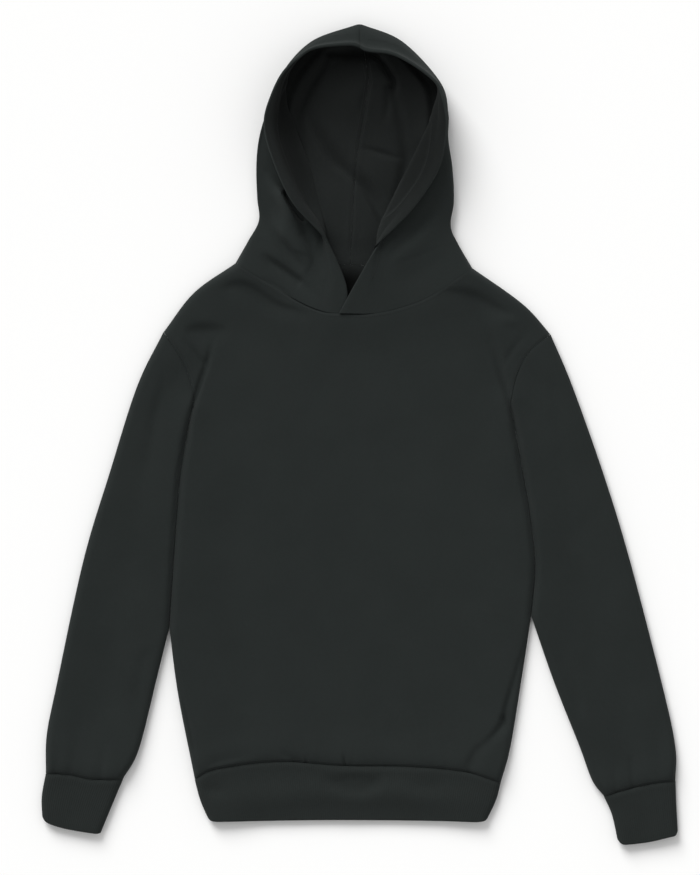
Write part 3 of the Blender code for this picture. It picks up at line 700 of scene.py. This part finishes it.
def rib_plan(names, reach, length, shift):
    """A rib's outline filled with a grid: between its seam and its end, whose corners are rounded beyond the reach
    of either side."""
    seam, end, *sides = [LINES[name] for name in names]
    down = spaced(length, 4.0, start=10, end=8, finest=0.8)
    left, right = [along(dense(side), share * down) for side, share in zip(sides, reach)]
    width = np.hypot(*np.subtract(seam[0], seam[-1]))
    across = spaced(width, 2.4, start=14, end=14, finest=0.35)
    end = dense([left[-1], *end, right[-1]])
    return quilt(along(dense(seam), across), along(end, across), left, right) + np.array(shift)


def evened(ring, count):
    """The ring's rows with their points spread evenly over the length of each row."""
    closed = np.concatenate([ring, ring[:, :1]], axis=1)
    shares = np.linspace(0, 1, count, endpoint=False)
    return np.stack([along(row, shares) for row in closed])


def tube(name, over, under, outwards, wall, finishes, free=(), ribs=False):
    """A flattened tube over its plan and back under it, cut square at its seams, with ribs along it if wanted."""
    ring = np.concatenate([over, under[:, ::-1][:, 1:-1]], axis=1)
    if ribs:
        around = lengths(np.vstack([ring[0], ring[:1, 0]]))[-1]
        number = int(round(around / RIB_PITCH))
        ring = evened(ring, number * int(round(RIB_PITCH / RIB_CELL)))
    normal = outwards * facing(ring, True)
    for row in (0, -1)[: 2 - len(free)]:
        square_off(normal, row, slice(None), ring[row], 0.1)
    inside = ring - wall * normal
    if ribs:
        crest = np.cos(2 * np.pi * np.arange(ring.shape[1]) * number / ring.shape[1])
        relief = RIB_RELIEF * (0.5 * crest + 0.5 - 0.25 * crest**2)
        ring = ring + relief[None, :, None] * normal
        inside = inside - 0.5 * relief[None, :, None] * normal
    ring[..., 2] = np.maximum(ring[..., 2], 0)
    inside[..., 2] = np.maximum(inside[..., 2], FLOOR_ROOM)
    return cloth(name, ring, inside, True, outwards < 0, finishes, free)


def rib_tube(name, plan, outwards, creases, unevenness):
    """A rib over its plan: folded at both sides, with its creases, its own unevenness and room for its two walls."""
    ends = (plan[:, 0], plan[:, -1])
    turn, under = turned(plan, ends)[0], lower(plan, ends)
    over = upper(plan, False, ends) + turn * (pressed(plan, creases) + ripples(plan, *unevenness))
    over = at_least(over, under + RIB_FULL * turn, 0.3)
    return tube(name, lift(plan, over), lift(plan, under), outwards, RIB, (rib_face, rib_back), ("last",), True)


plan = rib_plan(("hem seam", "band end", "band left", "band right"), (0.93, 0.93), 50, (0, -GAP))
band = rib_tube("hem_rib", plan, 1, BAND_CREASES, (8, 50, 140, 0.22))
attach(band, "root")
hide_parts("hem_band")

# ---------------------------------------------------------------- sleeves
# Each sleeve is one piece of fleece, closed along the underarm and set into the armhole. It lies against the
# body from the armpit down, then bears away from it to the cuff.
SLEEVE_CREASES = {
    "left": [
        (0.0, [(-238, 92, 0, 5), (-252, 40, 0.9, 7), (-262, -14, 0.7, 9), (-270, -60, 0, 8)]),
        (0.0, [(-262, -268, 0, 8), (-270, -280, 0.9, 8), (-277, -316, 0.9, 9), (-282, -352, 0, 8)]),
        (0.0, [(-345, -322, 0, 12), (-352, -375, 0.8, 11), (-357, -420, 0.9, 8)]),
        (0.0, [(-316, -372, 0, 6), (-321, -404, 0.8, 6), (-325, -429, 1.0, 5)]),
        (0.0, [(-380, -388, 0, 5), (-380, -408, 0.8, 5), (-379, -424, 0.9, 4)]),
        (0.0, [(-330, -130, 0, 14), (-322, -190, 0.7, 16), (-336, -260, 0, 14)]),
    ],
    "right": [
        (0.0, [(236, 96, 0, 5), (244, 52, 0.8, 7), (250, 0, 0.9, 9), (262, -50, 0, 8)]),
        (0.0, [(240, -252, 0, 6), (249, -274, 1.1, 7), (262, -304, 1.7, 7), (272, -331, 1.7, 7), (279, -356, 0, 7)]),
        (0.0, [(372, -330, 0, 12), (374, -370, 0.9, 12), (372, -420, 0.8, 9)]),
        (0.0, [(338, -398, 0, 4), (339, -412, 0.8, 4), (341, -438, 1.1, 4)]),
        (0.0, [(318, -404, 0, 5), (318, -424, 0.8, 5), (320, -444, 1.0, 5)]),
        (0.0, [(300, -120, 0, 14), (312, -180, 0.7, 16), (306, -250, 0, 14)]),
    ],
}
UNDER_CREASES = {
    "left": [
        (0.0, [(-262, -30, 0, 9), (-286, -110, 1.3, 10), (-296, -190, 0, 9)]),
        (0.0, [(-330, -300, 0, 7), (-338, -360, 1.2, 8), (-340, -424, 0.9, 6)]),
        (0.0, [(-300, -340, 0, 5), (-312, -388, 1.0, 6), (-316, -428, 0.8, 5)]),
    ],
    "right": [
        (0.0, [(262, -40, 0, 9), (280, -120, 1.3, 10), (292, -196, 0, 9)]),
        (0.0, [(330, -310, 0, 7), (342, -366, 1.2, 8), (346, -430, 0.9, 6)]),
        (0.0, [(296, -344, 0, 5), (308, -392, 1.0, 6), (318, -440, 0.8, 5)]),
    ],
}
SLEEVE_FULL = 4.7     # least height of a sleeve's upper side over its underside
width_cut = spaced(150, CELL, start=15, end=15, finest=0.4)
sleeve_cut = (spaced(273, CELL, start=10, finest=1.0), spaced(205, CELL, end=16, finest=1.0))
sleeves = []
for side, sign in SIDES:
    inner = chain(line("touch " + side, 1 - sleeve_cut[0]), line("inner " + side, sleeve_cut[1]))
    outer = line("outer " + side, lengths(inner) / lengths(inner)[-1])
    plan = quilt(line("armhole " + side, 1 - width_cut), line("cuff seam " + side, width_cut), outer, inner)
    plan = plan + np.array([sign * GAP, 0])
    turn = turned(plan)[0]
    seam = ARMHOLE_DEPTH * bell(nearest(plan, ARMHOLES[sign > 0])[0], SEAM_WIDTH)
    over = upper(plan, True) + turn * (
        CREASE_GAIN * pressed(plan, SLEEVE_CREASES[side] + FRONT_CREASES) - seam
        + ripples(plan, 20 + sign, 70, 200, 0.5) + ripples(plan, 24 + sign, 25, 60, 0.10)
    )
    under = lower(plan) + turn * np.maximum(
        -pressed(plan, UNDER_CREASES[side]) + ripples(plan, 30 + sign, 60, 160, 0.3), 0)
    over = at_least(over, under + SLEEVE_FULL * turn, 0.3)
    sleeve = tube(
        "sleeve_" + side + "_cloth", lift(plan, over), lift(plan, under), -sign, FLEECE, (fleece_face, fleece_back_with_painted_shade))
    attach(sleeve, "root")
    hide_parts("sleeve_" + side)
    sleeves.append(sleeve)

# ---------------------------------------------------------------- cuffs
# Two short tubes of the same rib, cut twice as deep and folded at the wrist, sewn on stretched.
LINES["cuff end left"] = [(-392, -480.8), (-385, -484.8), (-364, -490.8), (-332, -496)]
LINES["cuff end right"] = [(393, -498.8), (386, -500.8), (360, -506.8), (334, -509.8), (327, -508.6)]
CUFF_REACH = {"left": (0.91, 0.985), "right": (0.95, 0.90)}    # share of each side that runs straight
for side, sign in SIDES:
    names = [stretch + side for stretch in ("cuff seam ", "cuff end ", "cuff outer ", "cuff inner ")]
    plan = rib_plan(names, CUFF_REACH[side], 62, (sign * GAP, -GAP))
    cuff = rib_tube("cuff_" + side + "_rib", plan, -sign, (), (50 + sign, 30, 80, 0.35))
    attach(cuff, "root")
    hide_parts("cuff_" + side)

# ---------------------------------------------------------------- hood
# Two shaped halves of fleece joined by a seam from the neck over the crown to the front edge, which is turned in
# and stitched down. The hood stands up off the floor like a bag, and its front edge rolls outwards low down.
HOOD_CENTRE = [
    (-12, 213), (-11, 236), (-9, 262), (-8, 290), (-6, 325), (-2, 360), (4, 395), (8, 420), (10, 436), (11, 446),
]
# folded outline x, y and height; front edge x, y and height; width of the front edge that flares outwards
HOOD_TABLE = {
    "left": [
        (-155, 215, 5, -16, 153, 12, 0), (-139, 243, 7, -20, 193, 17, 4), (-126, 268, 8, -47, 248, 27, 15),
        (-128, 296, 9, -83.5, 291, 38, 32), (-129, 335, 12, -106.5, 341, 44, 42), (-124, 372, 16, -118, 384, 46, 39),
        (-113, 410, 20, -111, 419, 47, 19), (-95, 452, 21, -92, 456, 47, 3), (-58, 491, 19, -58, 482, 41, 0),
        (0, 512, 16, 0, 484, 38, 0),
    ],
    "right": [
        (140, 209, 5, -24, 153, 15, 0), (122, 240, 7, -2, 193, 21, 6), (113, 262, 8, 28, 243, 27, 17),
        (117, 292, 9, 66, 284, 35, 30), (115, 331, 12, 96, 330, 41, 37), (109, 370, 16, 106, 374, 45, 27),
        (109, 402, 18, 105, 406, 47, 12), (99, 440, 18, 96, 440, 47, 0), (52, 490, 17, 46, 474, 43, 0),
        (0, 512, 16, 0, 484, 38, 0),
    ],
}
FULL_FLARE = 37.0         # widest flare of the front edge
FLARE_RISE = {"left": 34.0, "right": 0.0}   # height of the front edge over its roll line where it flares fully
FLOOR_END = 14.0          # how far inside the fold the hood leaves the floor, low down
WALL_FOOT = 42.0          # the same for the upper hood, whose sides stand up
NECK_PULL = 0.3           # share of the hood's height over which it is drawn on to the neck seam
LAP = 3.2                 # step where the right side laps over the left
FLOOR_RISE = 9.0          # how far the hood's back is bowed up off the floor
HEM_DEPTH = 21.0          # width of the turned-in front edge
HEM_EXTRA = 1.5           # how much thicker it is
# painted shade: how far the inside's colour is darkened on the standing walls, which lie in shade
PAINTED_WALL_SHADE = {"left": 0.42, "right": 0.16}    # how much darker the inside is on the standing walls
HOOD_STEPS = 18           # rows of the grid between two sections
STEP = 3.0                # how far the crown's front edge steps down from the left half to the right one
STEP_REACH = 13.0         # distance of that step from the centre seam
LEAN = 0.8                # the crown's seam runs this far aslant through the cloth, so that no light passes it
CROWN_GROOVE = 0.9        # depth of the crown's seam on the outside
ROLL_ROOM = 5.0           # least height of the roll over the fold
BRIM = 8.0                # width of the front edge before it bends down
LEVEL = 0.01              # below this the cloth counts as lying on the floor

# creases on the floor side, seen inside the hood
FLOOR_CREASES = [
    # fold that crosses the floor, a dimple beside it and two short folds under the crown
    (0.5, [(-66, 412, 0, 4), (-60, 388, 3.4, 4.6), (-46, 363, 6.4, 4.8), (-33, 342, 7.8, 5.0), (-14, 325, 6.4, 4.8),
           (4, 308, 7.8, 5.2), (16, 291, 7.2, 5.4), (27, 270, 4.0, 5), (34, 254, 0, 4)]),
    (0.0, [(-40, 396, 0, 14), (-16, 362, -2.6, 16), (16, 326, -2.6, 14), (34, 300, 0, 12)]),
    (0.0, [(-2, 359, 0, 3), (10, 357, 1.8, 3.5), (27, 352, 3.2, 4.2), (44, 347, 1.6, 3.5), (56, 345, 0, 3)]),
    (0.0, [(9, 446, 0, 5), (8, 430, 2.2, 5), (4, 412, 2.4, 5), (6, 392, 0, 5)]),
    (0.0, [(36, 432, 3.6, 5), (35, 410, 2.6, 5), (30, 386, 0, 5)]),
    # foot of the left wall, the pit under the crown and the foot of the right wall
    (0.0, [(-40, 478, 6, 6), (-54, 448, 7, 7), (-68, 420, 7, 7), (-76, 394, 6, 7), (-72, 350, 5, 8), (-60, 306, 3, 8),
           (-46, 270, 0, 6)]),
    (0.0, [(-42, 480, 6, 6), (-28, 479, 12, 7), (-10, 480, 14, 8.5), (10, 479, 13, 7), (22, 475, 9, 4)]),
    (0.0, [(18, 477, 9, 3.4), (28, 468, 13, 4.4), (37, 453, 14, 5.0), (43, 441, 13, 4.6), (43, 426, 6, 4.4),
           (50, 400, 4, 7), (56, 370, 4, 8), (58, 340, 4, 8), (48, 300, 3, 7), (30, 262, 0, 6)]),
]
# creases on the side that faces out, beyond the front edge
OUTER_CREASES = [
    NECK_CREASE,
    # the hood's sides stand fuller than their plain section
    (0.0, [(-124, 272, -1, 18), (-102, 256, -8, 21), (-74, 236, -9, 21), (-44, 208, -2, 15)]),
    (0.0, [(110, 262, -1, 16), (86, 250, -3, 19), (56, 232, -3, 18), (30, 206, -1, 14)]),
    # gap beside the left front edge, with the fold that closes it in
    (0.0, [(-119, 338, 0, 4), (-110, 322, 2.6, 4), (-103, 311, 3, 3.6), (-98, 303, 0, 3)]),
    (0.0, [(-96, 305, 0, 2.6), (-92, 299, 12, 2.6), (-86, 290, 16, 2.8), (-79, 280, 16, 3.0), (-73, 271, 10, 2.8),
           (-69, 264, 0, 2.6)]),
    (-0.8, [(-116, 330, 0, 4), (-106, 314, -8, 5), (-98, 302, -15, 4.6), (-91, 288, -16, 4.2), (-84, 275, -13, 4.2),
            (-76, 262, -4, 4.6), (-70, 252, 0, 5)]),
    # folds below it, down to the neck seam
    (-0.3, [(-120, 284, 0, 6), (-112, 264, 4.6, 5.4), (-102, 247, 7.0, 5), (-90, 232, 7.0, 5), (-80, 219, 4, 5),
            (-70, 206, 0, 5)]),
    (-0.3, [(-126, 228, 0, 5), (-110, 217, 5.0, 4.6), (-92, 205, 6.6, 4.6), (-76, 193, 6.6, 4.6), (-61, 180, 5.0, 5),
            (-42, 165, 0, 5)]),
    (0.0, [(-75, 264, 0, 5), (-69, 252, 4.6, 6.5), (-61, 236, 6.0, 6.5), (-53, 214, 3.0, 6), (-48, 198, 0, 6)]),
    (0.0, [(112, 322, 0, 8), (104, 298, 2.6, 9), (87, 274, 3.4, 9), (65, 251, 3.2, 8), (45, 232, 2.2, 7),
           (28, 212, 0, 6)]),
    (0.2, [(126, 238, 0, 5), (104, 222, 0.6, 7), (70, 200, 0.6, 9), (40, 184, 0, 8)]),
]
floor_cut = np.linspace(0, 1, 66)
top_cut = 1 - (1 - np.linspace(0, 1, 44)) ** 1.4      # finer at the roll
roll_cut = np.linspace(0, 1, 40) ** 1.3


def hood_section(centre, row, rise):
    """One section, from the centre seam along the floor, up round the fold, over to the roll and to the edge.

    Its other points lie at set shares of the ways between these, and the more the cloth stands up or flares out
    there, the further they are from the straight line."""
    fold, rim, flare = np.array(row[:3], float), np.array(row[3:6], float), row[6]
    seam = np.array([*centre, 0.0])
    share = flare / FULL_FLARE
    stands = np.clip((fold[2] - 9) / 7, 0, 1)
    inwards = (seam - rim) * (1, 1, 0)
    inwards /= np.linalg.norm(inwards)
    foot_way = (seam - fold) * (1, 1, 0)
    foot_way /= np.linalg.norm(foot_way)
    foot = fold * (1, 1, 0) + foot_way * (FLOOR_END + (WALL_FOOT - FLOOR_END) * stands)
    roll = rim + flare * inwards + 0.3 * (1 - share) * (fold - rim) * (1, 1, 0)
    roll[2] = rim[2] - share * rise - (1 - share) * 0.35 * (rim[2] - fold[2])
    brim = rim + min(BRIM / max(flare, 1), 0.3) * (roll - rim) * (1, 1, 0.3)
    knee = rim + 0.5 * (roll - rim) * (1, 1, 1 + 0.6 * share * rise / FLARE_RISE["left"])
    bulge = fold + 0.45 * (roll - fold)
    bulge[2] = fold[2] + 0.72 * max(roll[2] - fold[2], ROLL_ROOM)
    knee[2] = max(knee[2], bulge[2] + 6 * share)
    heel = fold + (0.29 + 0.15 * stands) * (foot - fold) * (1, 1, 0)
    heel[2] = (0.27 + 0.30 * stands) * fold[2]
    brow = fold + 0.10 * (bulge - fold)
    brow[2] = (fold[2] + bulge[2]) / 2
    steps = 16
    path = dense([seam, (seam + foot) / 2, foot, heel, fold, brow, bulge, roll, knee, brim, rim], steps)
    path[:, 2] = np.maximum(path[:, 2], 0)
    turns = (4 * steps, 7 * steps)
    return chain(
        along(path[: turns[0] + 1], floor_cut), along(path[turns[0] : turns[1] + 1], top_cut),
        along(path[turns[1] :], roll_cut),
    )


def neck_row(side):
    """The hood's seam with the body: under along the back neck, then over along the front neck."""
    under = line("back neck " + side, floor_cut)[::-1]
    over = line("front neck " + side, np.concatenate([0.55 * top_cut, 0.55 + 0.45 * roll_cut[1:]]))
    way = over[-1] - over[-2]
    over[-1] += 4 * way / np.linalg.norm(way)
    height = upper(over, False)
    if side == "right":
        height += LAP * np.clip((40 - over[:, 0]) / 60, 0, 1)
    height[0] = FOLD_MIDDLE
    return np.vstack([lift(under, lower(under)), lift(over, height)[1:]])


def run_from(base, axis):
    """For each point of a grid: its distance over the cloth to the grid's last row (axis 0) or column (axis 1)."""
    back = np.flip(base, axis)
    steps = np.diff(back, axis=axis, prepend=np.take(back, [0], axis))
    return np.flip(np.cumsum(np.linalg.norm(steps, axis=2), axis=axis), axis)


hood_rows = []
for side, sign in SIDES:
    # the sections joined up, with the crown's step, and the lower rows drawn on to the neck seam
    table = HOOD_TABLE[side]
    sections = np.array([hood_section(centre, row, FLARE_RISE[side]) for centre, row in zip(HOOD_CENTRE, table)])
    grid = dense(sections.reshape(len(sections), -1), HOOD_STEPS)
    grid = grid.reshape(len(grid), -1, 3)
    up = np.linspace(0, 1, len(grid))[:, None]
    near_rim = eased(np.arange(grid.shape[1]) / len(floor_cut) - 1.2)[None, :]
    beside = np.abs(grid[..., 0]) / STEP_REACH
    grid[..., 1] -= sign * STEP * eased(2 * up - 1) * near_rim * beside * np.exp(1 - beside)
    pull = np.clip(1 - up / NECK_PULL, 0, 1)[..., None] ** 2
    grid = grid + pull * (neck_row(side) - grid[0])[None]
    grid[..., 2] = np.maximum(grid[..., 2], 0)
    base = grid + np.array([sign * GAP / 2, GAP, 0])
    # the wall's direction: square at the seams, and straight down where the cloth lies on the floor
    normal = sign * facing(base, False)
    fold = len(floor_cut) - 1
    square_off(normal, 0, slice(0, fold), base[0, :fold])
    square_off(normal, 0, slice(fold + 1, None), base[0, fold + 1 :])
    normal[0, fold] = (sign, 0, 0)
    square_off(normal, slice(None), 0, base[:, 0])
    normal[-1, :, 0] = 0
    normal[-1] /= np.linalg.norm(normal[-1], axis=1, keepdims=True)
    normal[base[..., 2] < LEVEL] = (0, 0, -1)
    from_rim, from_crown = run_from(base, 1), run_from(base, 0)
    # 0 at the centre seam, 1 on the fold, 1.8 at the roll and 2 on the front edge
    marks = [0, fold, fold + len(top_cut) - 1, base.shape[1] - 1]
    column = np.interp(np.arange(base.shape[1]), marks, [0, 1, 1.8, 2])[None, :]
    on_floor = eased((0.86 - column) / 0.12) * eased(up / 0.16)
    # the outer side between fold and roll, but for what the flared front edge hides
    flare = dense([(row[6], 0) for row in table], HOOD_STEPS)[:, :1] / FULL_FLARE
    inwards = base[:, :1, :2] - base[:, -1:, :2]
    inwards /= np.linalg.norm(inwards, axis=2, keepdims=True)
    under_flare = ((base[..., :2] - base[:, -1:, :2]) * inwards).sum(2)
    shown = 1 - eased(flare / 0.5) * eased(under_flare / 6)
    outer_side = eased((column - 1.0) / 0.3) * eased((1.97 - column) / 0.3) * shown
    # the outside: the back bowed up, the creases of both sides, the centre seam and the crown's seam
    outside = base.copy()
    from_seam = nearest(base[..., :2], dense([*HOOD_CENTRE, (0, 512)]), 20)[0]
    rise = FLOOR_RISE * eased(up / 0.4) + pressed(base[..., :2], FLOOR_CREASES)
    rise += ripples(base[..., :2], 61, 40, 120, 0.6)
    rise += 0.35 * bell(from_seam - 4.0, 3.0) - 0.4 * bell(from_seam, 1.6)
    outside[..., 2] += on_floor * at_least(rise, -base[..., 2])
    outside[..., 2] += outer_side * at_least(pressed(base[..., :2], OUTER_CREASES), 5.5 - base[..., 2])
    outside[..., 2] = np.maximum(outside[..., 2], 0)
    outside -= ((column > 1) * CROWN_GROOVE * bell(from_crown, 2.0))[..., None] * normal
    # the inside: thicker by the turned-in front edge, with a groove at its stitching
    hem = eased((HEM_DEPTH - from_rim) / 3)
    wall = FLEECE + HEM_EXTRA * hem - 0.5 * bell(from_rim - HEM_DEPTH + 2.0, 0.9)
    inside = outside - wall[..., None] * normal
    inside[..., 0] += LEAN * eased((column - 1) / 0.3) * bell(from_crown, 4.0)
    # painted shade of the standing walls, one value per inside point, stored as a vertex attribute that darkens the
    # brushed finish
    painted_wall_shade = PAINTED_WALL_SHADE[side] * eased((from_rim - 7) / 6) * eased((66 - from_rim) / 22)
    painted_wall_shade = painted_wall_shade * eased((up - 0.28) / 0.2) * eased((0.93 - up) / 0.1)
    hood = cloth(
        "hood_" + side + "_cloth", outside, inside, False, side == "left", (fleece_face, fleece_back_with_painted_shade), ("right",))
    shades = np.zeros(len(hood.data.vertices))
    shades[painted_wall_shade.size : 2 * painted_wall_shade.size] = painted_wall_shade.ravel()
    hood.data.attributes.new("painted_wall_shade", "FLOAT", "POINT").data.foreach_set("value", shades)
    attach(hood, "root")
    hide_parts("hood_" + side)
    rows, columns = range(16, len(base) - 3), np.arange(base.shape[1])
    by_hem = [np.interp(3.0 - HEM_DEPTH, -from_rim[row], columns) for row in rows]
    by_seam = [np.interp(3.4, from_seam[row, :fold], columns[:fold]) for row in rows]
    for face, way, places in ((outside, 1, by_hem), (inside, -1, by_hem), (inside, -1, by_seam)):
        hood_rows.append([
            np.array([[np.interp(at, columns, grid[row, :, i]) for i in range(3)] for row, at in zip(rows, places)])
            for grid in (face, way * normal)])

# ---------------------------------------------------------------- stitching
# Rows of small stitches in the cloth's own colour: beside the neck seam, the armholes and the rib seams, along the
# hood's turned-in edge on both faces, and on either side of its centre seam.
THREAD = 0.26             # half the thickness of the thread as it lies
STITCH = 2.7              # length of a stitch
STITCH_PITCH = 3.3        # and from one to the next
BESIDE = 3.4              # distance of a row from its seam
BESIDE_ARMHOLE = 3.6
BESIDE_NECK = 3.8


def offset(path, distance):
    """A path moved sideways: each point along the normal there, to the left of the way if above 0."""
    way = np.gradient(path, axis=0)
    return path + distance * np.stack([-way[:, 1], way[:, 0]], axis=1) / np.linalg.norm(way, axis=1, keepdims=True)


def on_top(piece, path):
    """Points of a piece straight under a plan path, and its normals there."""
    tree = BVHTree.FromObject(piece, bpy.context.evaluated_depsgraph_get())
    hits = [tree.ray_cast((x * MM, y * MM, 0.2), (0, 0, -1)) for x, y in path]
    hits = [hit for hit in hits if hit[0] is not None]
    return np.array([hit[0] for hit in hits]) / MM, np.array([hit[1] for hit in hits])


def stitched(name, rows):
    """Stitches along rows of points with normals: each a four-sided bow of thread that dips into the cloth."""
    bows = []
    for points, normals in rows:
        at = lengths(points)
        cut = np.arange(1.0, at[-1] - STITCH - 1.0, STITCH_PITCH)[:, None] + STITCH * np.linspace(0, 1, 5)
        middle, out = [np.stack([np.interp(cut, at, of[:, i]) for i in range(3)], axis=-1) for of in (points, normals)]
        out /= np.linalg.norm(out, axis=2, keepdims=True)
        aside = np.cross(np.gradient(middle, axis=1), out)
        aside /= np.linalg.norm(aside, axis=2, keepdims=True)
        middle = middle + out * (THREAD * np.array([-1.2, 0.4, 0.8, 0.4, -1.2]))[None, :, None]
        thick = (THREAD * np.array([0.7, 1, 1, 1, 0.7]))[None, :, None]
        bows.append(np.stack([middle + thick * way for way in (aside, out, -aside, -out)], axis=2))
    bows = np.vstack(bows)
    numbers = np.arange(bows[..., 0].size).reshape(bows.shape[:3])
    ahead = np.roll(numbers, -1, axis=2)
    faces = np.stack([numbers[:, :-1], ahead[:, :-1], ahead[:, 1:], numbers[:, 1:]], axis=-1)
    ends = np.concatenate([numbers[:, 0, ::-1], numbers[:, -1]])
    mesh = bpy.data.meshes.new(name)
    mesh.from_pydata((bows.reshape(-1, 3) * MM).tolist(), [], np.vstack([faces.reshape(-1, 4), ends]).tolist())
    mesh.shade_smooth()
    mesh.materials.append(thread.material)
    piece = placed(name, mesh)
    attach(piece, "root")


thread = Finish("thread")
twist = thread.noise(thread.node("ShaderNodeTexCoord", {}, {}, output="Object"), 2600.0, 2.0)
thread.feed(thread.shader, {
    "Base Color": thread.node("ShaderNodeMix", {"data_type": "RGBA"}, {
        0: twist, 6: (0.0100, 0.0120, 0.0116, 1), 7: (0.0150, 0.0178, 0.0171, 1)}, output=2),
    "Roughness": 0.7, "Specular IOR Level": 0.25,
    "Normal": thread.node("ShaderNodeBump", {}, {"Strength": 0.6, "Distance": 0.00015, "Height": twist}),
})
inner_part = np.linspace(0.02, 0.98, 500)     # share of a seam that its row of stitches follows
body_rows = [on_top(front, along(offset(path, away), inner_part)) for path, away in (
    (NECK_SEAM, -BESIDE_NECK), (ARMHOLES[0], -BESIDE_ARMHOLE), (ARMHOLES[1], BESIDE_ARMHOLE), (RIB_SEAMS[0], BESIDE))]
sleeve_rows = [
    on_top(sleeves[0], along(offset(RIB_SEAMS[1], BESIDE), inner_part)),
    on_top(sleeves[1], along(offset(RIB_SEAMS[2], -BESIDE), inner_part)),
]
stitched("body_stitches", body_rows)
stitched("sleeve_stitches", sleeve_rows)
stitched("hood_stitches", hood_rows)
